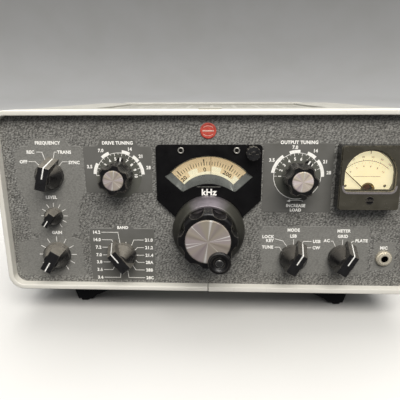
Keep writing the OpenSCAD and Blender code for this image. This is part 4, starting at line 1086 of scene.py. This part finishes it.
def dial_printing():
    rest = on_panel(DIAL)
    low, high = DIAL_FACE - 0.05, DIAL_FACE + 0.04
    paper = Shape()
    paper.washer(7, 48.4, low, high - 0.03, rest, DIAL_STEPS)
    paper.finish("dial_paper", "dial", DIAL_AMBER, slot="dial_white")
    white = Shape()
    white.washer(8, 31.4, low, high - 0.01, rest, DIAL_STEPS)
    for i in range(len(DIAL_NUMBERS)):
        angle = DIAL_ZERO + DIAL_STEP * i
        white.band(31.3, 36, angle + 10.5, angle + DIAL_STEP - 11, low, high - 0.01, rest)
    white.finish("dial_white_ring", "dial", DIAL_WHITE, slot="dial_white")
    marks = Shape()
    for i, number in enumerate(DIAL_NUMBERS):
        angle = DIAL_ZERO + DIAL_STEP * i
        marks.line([polar(36.8, angle), polar(42.6, angle)], 0.85, low, high + 0.02, rest)
        for k in range(1, 10):
            reach = 41.2 if k == 5 else 40.2
            turned = angle + DIAL_STEP * k / 10
            marks.line([polar(36.9, turned), polar(reach, turned)], 0.52, low, high + 0.02, rest)
        marks.text(number, 3.5, polar(33.2, angle), low, high + 0.02, turn=angle, weight=0.1,
                   place=rest)
    marks.finish("dial_marks", "dial", BLACK_INK)


def hairline():
    front = out_of("hairline_cursor")
    shape = Shape()
    shape.line([(1.8, 29), (1.8, 46)], 0.42, front - 0.05, front + 0.06, on_panel(DIAL))
    shape.finish("hairline_print", "cursor", HAIR)


def escutcheon_print():
    """Generic unit mark under the window, below a thin line."""
    face = out_of("dial_escutcheon")
    shape = Shape()
    shape.text("kHz", 5.2, (0.2, 93.6), face - 0.05, face + 0.07, weight=0.3, wide=1.0)
    shape.finish("unit_mark", "cabinet", WHITE_INK)
    shape = Shape()
    shape.line([(-10.5, 98.4), (10.5, 98.4)], 0.4, face - 0.05, face + 0.06)
    shape.finish("unit_rule", "cabinet", GREY_INK)


# ---- Knob markings ----

LINE_WIDTH = 1.1
LINE_LIFT = 0.07                # how far a filled line stands out of its knob
BAR_FOOT = 1.8                  # where a bar knob's nose meets the panel side of its skirt
# Knob, body, direction at rest, and how far the knob's flat top and its nose reach from the axis.
BAR_KNOBS = (("source", "source", 15, 12.3, 16), ("gain", "gain", -148, 12.3, 16),
             ("band", "band", -38.6, 12.3, 16), ("mode", "mode", 30, 12.3, 16),
             ("meter", "meter_switch", 30, 12.3, 16), ("calibrate", "calibrate", -145, 8.0, 9.5))


def bar_line(name, body, turn, radius, height, nose, width):
    """White filled line of a bar knob: from its middle over the edge and down the nose."""
    path = [(0.4, height), (0.83 * radius, height), (0.87 * radius, height - 0.8),
            (nose - 0.15, BAR_FOOT + 0.5)]
    outward = [(0, 1), (0.3, 0.95), (0.78, 0.62), (0.95, 0.3)]
    rings = []
    for (y, z), (ny, nz) in zip(path, outward):
        rings.append([(side * width / 2, y + ny * lift, z + nz * lift)
                      for side, lift in ((-1, -0.4), (1, -0.4), (1, LINE_LIFT), (-1, LINE_LIFT))])
    shape = Shape()
    shape.loft(rings, on_panel(spot(body + "_turn"), 0, turn))
    shape.finish(name, body, FILL_WHITE)


def knob_markings():
    for knob, body, turn, radius, nose in BAR_KNOBS:
        bar_line(knob + "_line", body, turn, radius, out_of(knob + "_knob"), nose,
                 LINE_WIDTH * (1 if radius > 10 else 0.8))
    for name, body, joint, turn, base in (("drive_line", "drive", "drive_turn", 10, 3.0),
                                          ("output_line", "output", "output_turn", 33, 5.2)):
        shape = Shape()
        shape.line([(0, 12.9), (0, 16.9)], 1.3, base + 1.5, base + 1.6 + LINE_LIFT,
                   on_panel(spot(joint), 0, turn))
        shape.finish(name, body, FILL_WHITE)


# ---- Meter face ----

ARC = 25.8                      # radius of the printed meter scale


def meter_printing():
    face = out_of("meter_scale")
    bottom, top = face - 0.05, face + 0.05
    shape = Shape()
    place = on_panel(NEEDLE)
    shape.band(ARC - 0.16, ARC + 0.16, -44, 44, bottom, top, place)
    for i in range(23):
        angle = -44 + 4 * i
        reach = 1.5 if i % 4 == 1 else 0.8
        shape.line([polar(ARC, angle), polar(ARC + reach, angle)], 0.22, bottom, top, place)
    for i in range(12):
        angle = -38.5 + 7 * i
        shape.line([polar(ARC - 1.4, angle), polar(ARC - 2.2, angle)], 0.24, bottom, top, place)
    for i in range(6):
        angle = -40 + 16 * i
        shape.text(str(2 * i), 1.7, polar(ARC - 4.6, angle), bottom, top, turn=angle, place=place)
        shape.text(str(20 * i), 1.6, polar(ARC + 3.4, angle), bottom, top, turn=angle, place=place)
    shape.line([(-11, 12.2), (12, 12.2)], 0.26, bottom, top, place)
    shape.line([(2.1, 31.6), (2.1, 34.6)], 0.55, bottom, top, place)
    shape.finish("meter_marks", "cabinet", BLACK_INK)
    shape = Shape()
    for x in (-17.2, 16.2):
        at = on_panel((NEEDLE[0] + x, NEEDLE[1] + 4.2), face)
        shape.lathe([(0.02, 0), (1.3, 0), (1.3, 0.3), (0.9, 0.55), (0.02, 0.6)], at, 20)
    shape.finish("meter_plate_screws", "cabinet", NICKEL, smooth_angle=40)


def meter_bridge():
    """Arched brass bridge of the movement, in the arch cut out of the scale."""
    arch = (NEEDLE[0] + 2.2, NEEDLE[1] + 0.6)
    shape = Shape()
    place = on_panel(arch, 0)
    shape.band(4.5, 5.9, -100, 100, 3.1, 4.1, place)
    for angle in (-62, 62):
        x, y = polar(5.2, angle)
        shape.lathe([(0.02, 4.0), (0.95, 4.0), (0.95, 4.4), (0.6, 4.7), (0.02, 4.75)],
                    place @ Matrix.Translation((x, y, 0)), 20)
    shape.finish("meter_bridge", "cabinet", BRASS, smooth_angle=40)


def meter_lip():
    """Moulded edge of the lens round the lower part of the window, made bright as a painted highlight.
    """
    low, high = level_extent("meter_window")
    middle, half = (low[0] + high[0]) / 2, (high[0] - low[0]) / 2
    face = out_of("meter_case")
    left = [(-half - 0.4, 5.2), (-half - 0.3, 3.2), (-half + 0.2, 1.4), (-half + 1.3, 0.0),
            (-half + 2.9, -0.9), (-half + 4.6, -1.1)]
    path = left + [(-x, z) for x, z in reversed(left)]
    shape = Shape()
    shape.line(path, 1.7, face - 0.3, face + 0.25, on_panel((middle, low[2])))
    shape.line(path, 0.8, face + 0.2, face + 0.45, on_panel((middle, low[2])))
    shape.finish("meter_lip", "cabinet", LENS_EDGE_HIGHLIGHT, smooth_angle=30)


ESCUTCHEON_SCREWS = ((-24.0, 130.6), (24.0, 130.6))


def screw_rims():
    """Bright rims round the sockets of the two screws in the dial's plate."""
    face = out_of("dial_escutcheon") + 1.62
    shape = Shape()
    for at in ESCUTCHEON_SCREWS:
        rim = [(1.75, -0.5), (1.75, 0.12), (2.0, 0.3), (2.35, 0.3), (2.68, 0.08), (2.7, -0.5)]
        shape.lathe(rim, on_panel(at, face), 36, loop=True)
    shape.finish("screw_rims", "cabinet", RIM_METAL, smooth_angle=50)


def spinner_rivet():
    """Domed rivet head in the spinner's dish."""
    floor = out_of("spinner_knob") - 2.0
    dome = [(0.02, 0.06), (3.3, 0.06), (3.3, 0.3)]
    dome += [(3.3 * math.cos(a), 0.3 + 1.2 * math.sin(a)) for a in np.linspace(0.2, 1.5, 7)]
    shape = Shape()
    shape.lathe(dome + [(0.02, 1.5)], on_panel(spot("spinner_spin"), floor), 36)
    shape.finish("spinner_rivet", "spinner", DARK_CHROME, smooth_angle=50)


# ---- Badge ----

def badge_detail():
    low, high = level_extent("badge")
    centre = ((low[0] + high[0]) / 2, (low[2] + high[2]) / 2)
    place = on_panel(centre, out_of("badge"))
    shape = Shape()
    shape.prism([(-4.9, -0.55), (4.9, -0.55), (4.9, 0.55), (-4.9, 0.55)], -0.4, -0.1, place)
    for i in range(7):
        x = -3.6 + 1.2 * i
        shape.line([(x, -0.3), (x, 0.3)], 0.5, -0.4, 0.0, place)
    for side in (-1, 1):
        arch = [(4.6 * math.sin(a), side * (1.3 + 2.9 * math.cos(a))) for a in
                np.linspace(-1.1, 1.1, 15)]
        shape.line(arch, 0.4, -0.4, -0.12, place)
    shape.finish("badge_relief", "cabinet", BADGE_PALE, smooth_angle=40, slot="red_enamel")


# ---- The CAD pieces' finishes ----

TUNING_CAP = spun_metal("spun_tuning_cap", "tuning_cap")
# The drive and output caps are made brighter than the tuning cap: painted light.
DRIVE_CAP = spun_metal("spun_drive_cap", "drive_cap", 1.12)
OUTPUT_CAP = spun_metal("spun_output_cap", "output_cap", 1.28)

# For each CAD node: its material, and the rounding of its edges in millimetres.
FINISH = {
    "cabinet_shell": (CASE, 0.35), "trim_ring": (BEZEL, 0.9), "top_lid": (CASE, 0.5),
    "lid_grille": (CASE, 0), "front_panel": (LACQUER, 0), "dial_escutcheon": (PLATE_BLACK, 0.35),
    "panel_screws": (SCREW, 0), "window_bezel": (GUNMETAL, 0), "window_glass": (PANE, 0),
    "skirt_ring": (SKIRT_GREY, 0.3), "front_feet": (FOOT_BLACK, 0.5), "foot_pads": (RUBBER, 0.6),
    "badge": (BADGE_RED, 0.15), "control_bushings": (BRASS, 0), "switch_bodies": (PHENOLIC, 0),
    "dial_lamps": (LAMP, 0), "meter_case": (METER_CASE, 0.7), "meter_window": (PANE_METER, 0),
    "meter_scale": (CREAM, 0), "mic_jack": (JACK, 0.25), "chassis": (CHASSIS, 0.3),
    "vfo_can": (CHASSIS, 0.5), "pa_cage": (CHASSIS, 0.3), "tubes": (SHIELD, 0),
    "capacitor_stators": (STEEL, 0), "slug_coils": (COIL_FORM, 0), "antenna_jack": (NICKEL, 0.2),
    "phono_jacks": (NICKEL, 0.15), "power_plug": (PHENOLIC, 0.2), "ground_post": (BRASS, 0.2),
    "hinge_pin": (STEEL, 0), "tuning_knob": (KNOB_GLOSS, 0.45), "tuning_cap": (TUNING_CAP, 0.25),
    "tuning_shaft": (STEEL, 0), "spinner_post": (STEEL, 0.15), "spinner_knob": (KNOB_GLOSS, 0.3),
    "dial_disc": (DIAL_AMBER, 0), "dial_gear": (BRASS, 0), "hairline_cursor": (PANE, 0),
    "zero_set_knob": (KNOB, 0.2), "drive_knob": (FLUTED, 0.3), "drive_cap": (DRIVE_CAP, 0.15),
    "drive_shaft": (STEEL, 0), "slug_rack": (CHASSIS, 0), "output_knob": (FLUTED, 0.3),
    "output_cap": (OUTPUT_CAP, 0.15), "output_shaft": (STEEL, 0), "output_rotor": (STEEL, 0),
    "loading_lever": (DARK_STEEL, 0.3), "loading_gear": (BRASS, 0), "loading_rotor": (STEEL, 0),
    "source_knob": (KNOB, 0.28), "calibrate_knob": (KNOB, 0.2), "gain_knob": (KNOB, 0.28),
    "band_knob": (KNOB, 0.28), "mode_knob": (KNOB_DARK, 0.28), "meter_knob": (KNOB_DARK, 0.28),
    "meter_needle": (NEEDLE_PAINT, 0), "meter_coil": (COPPER, 0),
    "meter_zero_screw": (KNOB_GLOSS, 0.15),
}


def finish_nodes():
    for node, (material, rounding) in FINISH.items():
        paint(node, material)
        soften_edges(node, rounding)


# ---- Room, light and camera ----

def paper_bowl():
    """Pale paper floor that curves up into a wall all round the set."""
    flat, radius, top = 2.6, 0.9, 1.5
    profile = [(0.0, 0.0), (flat, 0.0)]
    profile += [(flat + radius * math.sin(a), radius - radius * math.cos(a))
                for a in np.linspace(0.05, math.pi / 2, 20)]
    profile.append((flat + radius, top))
    shape = bmesh.new()
    steps = 72
    rows = [[shape.verts.new((r * math.cos(2 * math.pi * i / steps),
                              r * math.sin(2 * math.pi * i / steps), z)) for i in range(steps)]
            for r, z in profile[1:]]
    shape.faces.new(rows[0])
    for low, high in zip(rows, rows[1:]):
        for i in range(steps):
            shape.faces.new((low[i], high[i], high[(i + 1) % steps], low[(i + 1) % steps]))
    mesh = bpy.data.meshes.new("paper")
    shape.to_mesh(mesh)
    mesh.shade_smooth()
    floor = bpy.data.objects.new("paper", mesh)
    bpy.context.scene.collection.objects.link(floor)
    look = Look("paper", rough=0.9, specular=0.1)
    look.set(Base_Color=look.blend(300, 0.4, 0.7, tone(206, 205, 202), tone(202, 201, 197), 3))
    mesh.materials.append(look.material)
    floor.visible_diffuse = floor.visible_glossy = False        # no glare off the paper


def lamp(name, at, aim, size, power, colour=(1, 1, 1)):
    light = bpy.data.lights.new(name, "AREA")
    light.shape, light.size, light.size_y = "RECTANGLE", size[0], size[1]
    light.energy, light.color = power, colour
    thing = bpy.data.objects.new(name, light)
    bpy.context.scene.collection.objects.link(thing)
    thing.location = at
    thing.rotation_mode = "QUATERNION"
    thing.rotation_quaternion = (Vector(aim) - Vector(at)).to_track_quat("-Z", "Y")


def sky():
    """Room light: dim low down, soft and brighter overhead."""
    world = bpy.data.worlds.new("studio")
    bpy.context.scene.world = world
    world.use_nodes = True
    tree = world.node_tree
    direction = tree.nodes.new("ShaderNodeTexCoord").outputs["Generated"]
    height = tree.nodes.new("ShaderNodeSeparateXYZ")
    ramp = tree.nodes.new("ShaderNodeMapRange")
    tree.links.new(direction, height.inputs[0])
    tree.links.new(height.outputs[2], ramp.inputs["Value"])
    for name, value in (("From Min", 0.1), ("From Max", 0.8), ("To Min", 0.14), ("To Max", 0.75)):
        ramp.inputs[name].default_value = value
    background = tree.nodes["Background"]
    background.inputs["Color"].default_value = (0.97, 0.98, 1.0, 1)
    tree.links.new(ramp.outputs[0], background.inputs["Strength"])


def lights():
    """A key lamp in front, and a ceiling panel behind whose glint lies on the tops of the knobs."""
    sky()
    lamp("key", (0.3, -1.25, 1.45), (0.0, -0.15, 0.1), (1.5, 0.8), 37, (1.0, 0.97, 0.93))
    lamp("ceiling", (0.0, 0.62, 1.5), (0.0, 0.0, 0.1), (2.2, 1.3), 30, (1.0, 0.98, 0.95))


CAMERA_AT = (6.925, -343.5, 177.18)     # in the cabinet's millimetres
CAMERA_YAW, CAMERA_PITCH, CAMERA_ROLL = -2.401, 14.579, 0.255
CAMERA_LENS, CAMERA_SENSOR = 36.57, 36.0


def camera():
    yaw, pitch = math.radians(CAMERA_YAW), math.radians(CAMERA_PITCH)
    ahead = Vector((math.sin(yaw) * math.cos(pitch), math.cos(yaw) * math.cos(pitch),
                    -math.sin(pitch)))
    right = Vector((math.cos(yaw), -math.sin(yaw), 0))
    down = ahead.cross(right)
    roll = math.radians(CAMERA_ROLL)
    turned_right = math.cos(roll) * right + math.sin(roll) * down
    turned_down = math.cos(roll) * down - math.sin(roll) * right
    frame_axes = Matrix((turned_right, -turned_down, -ahead)).transposed()
    lens = bpy.data.cameras.new("camera")
    lens.lens, lens.sensor_width = CAMERA_LENS, CAMERA_SENSOR
    lens.clip_start = 0.01
    thing = bpy.data.objects.new("camera", lens)
    bpy.context.scene.collection.objects.link(thing)
    thing.matrix_world = (Matrix.Translation(CABINET @ Vector(CAMERA_AT)) @ LEVEL
                          @ frame_axes.to_4x4())
    bpy.context.scene.camera = thing


# ---- Putting it together ----

for build in (grain_skin, plateaus, pressed_edges, panel_legends, window_frame, dial_printing,
              hairline, escutcheon_print, knob_markings, meter_printing, meter_bridge, meter_lip,
              screw_rims, spinner_rivet, badge_detail, finish_nodes, paper_bowl, lights, camera):
    build()
bpy.context.scene.view_settings.view_transform = "Standard"
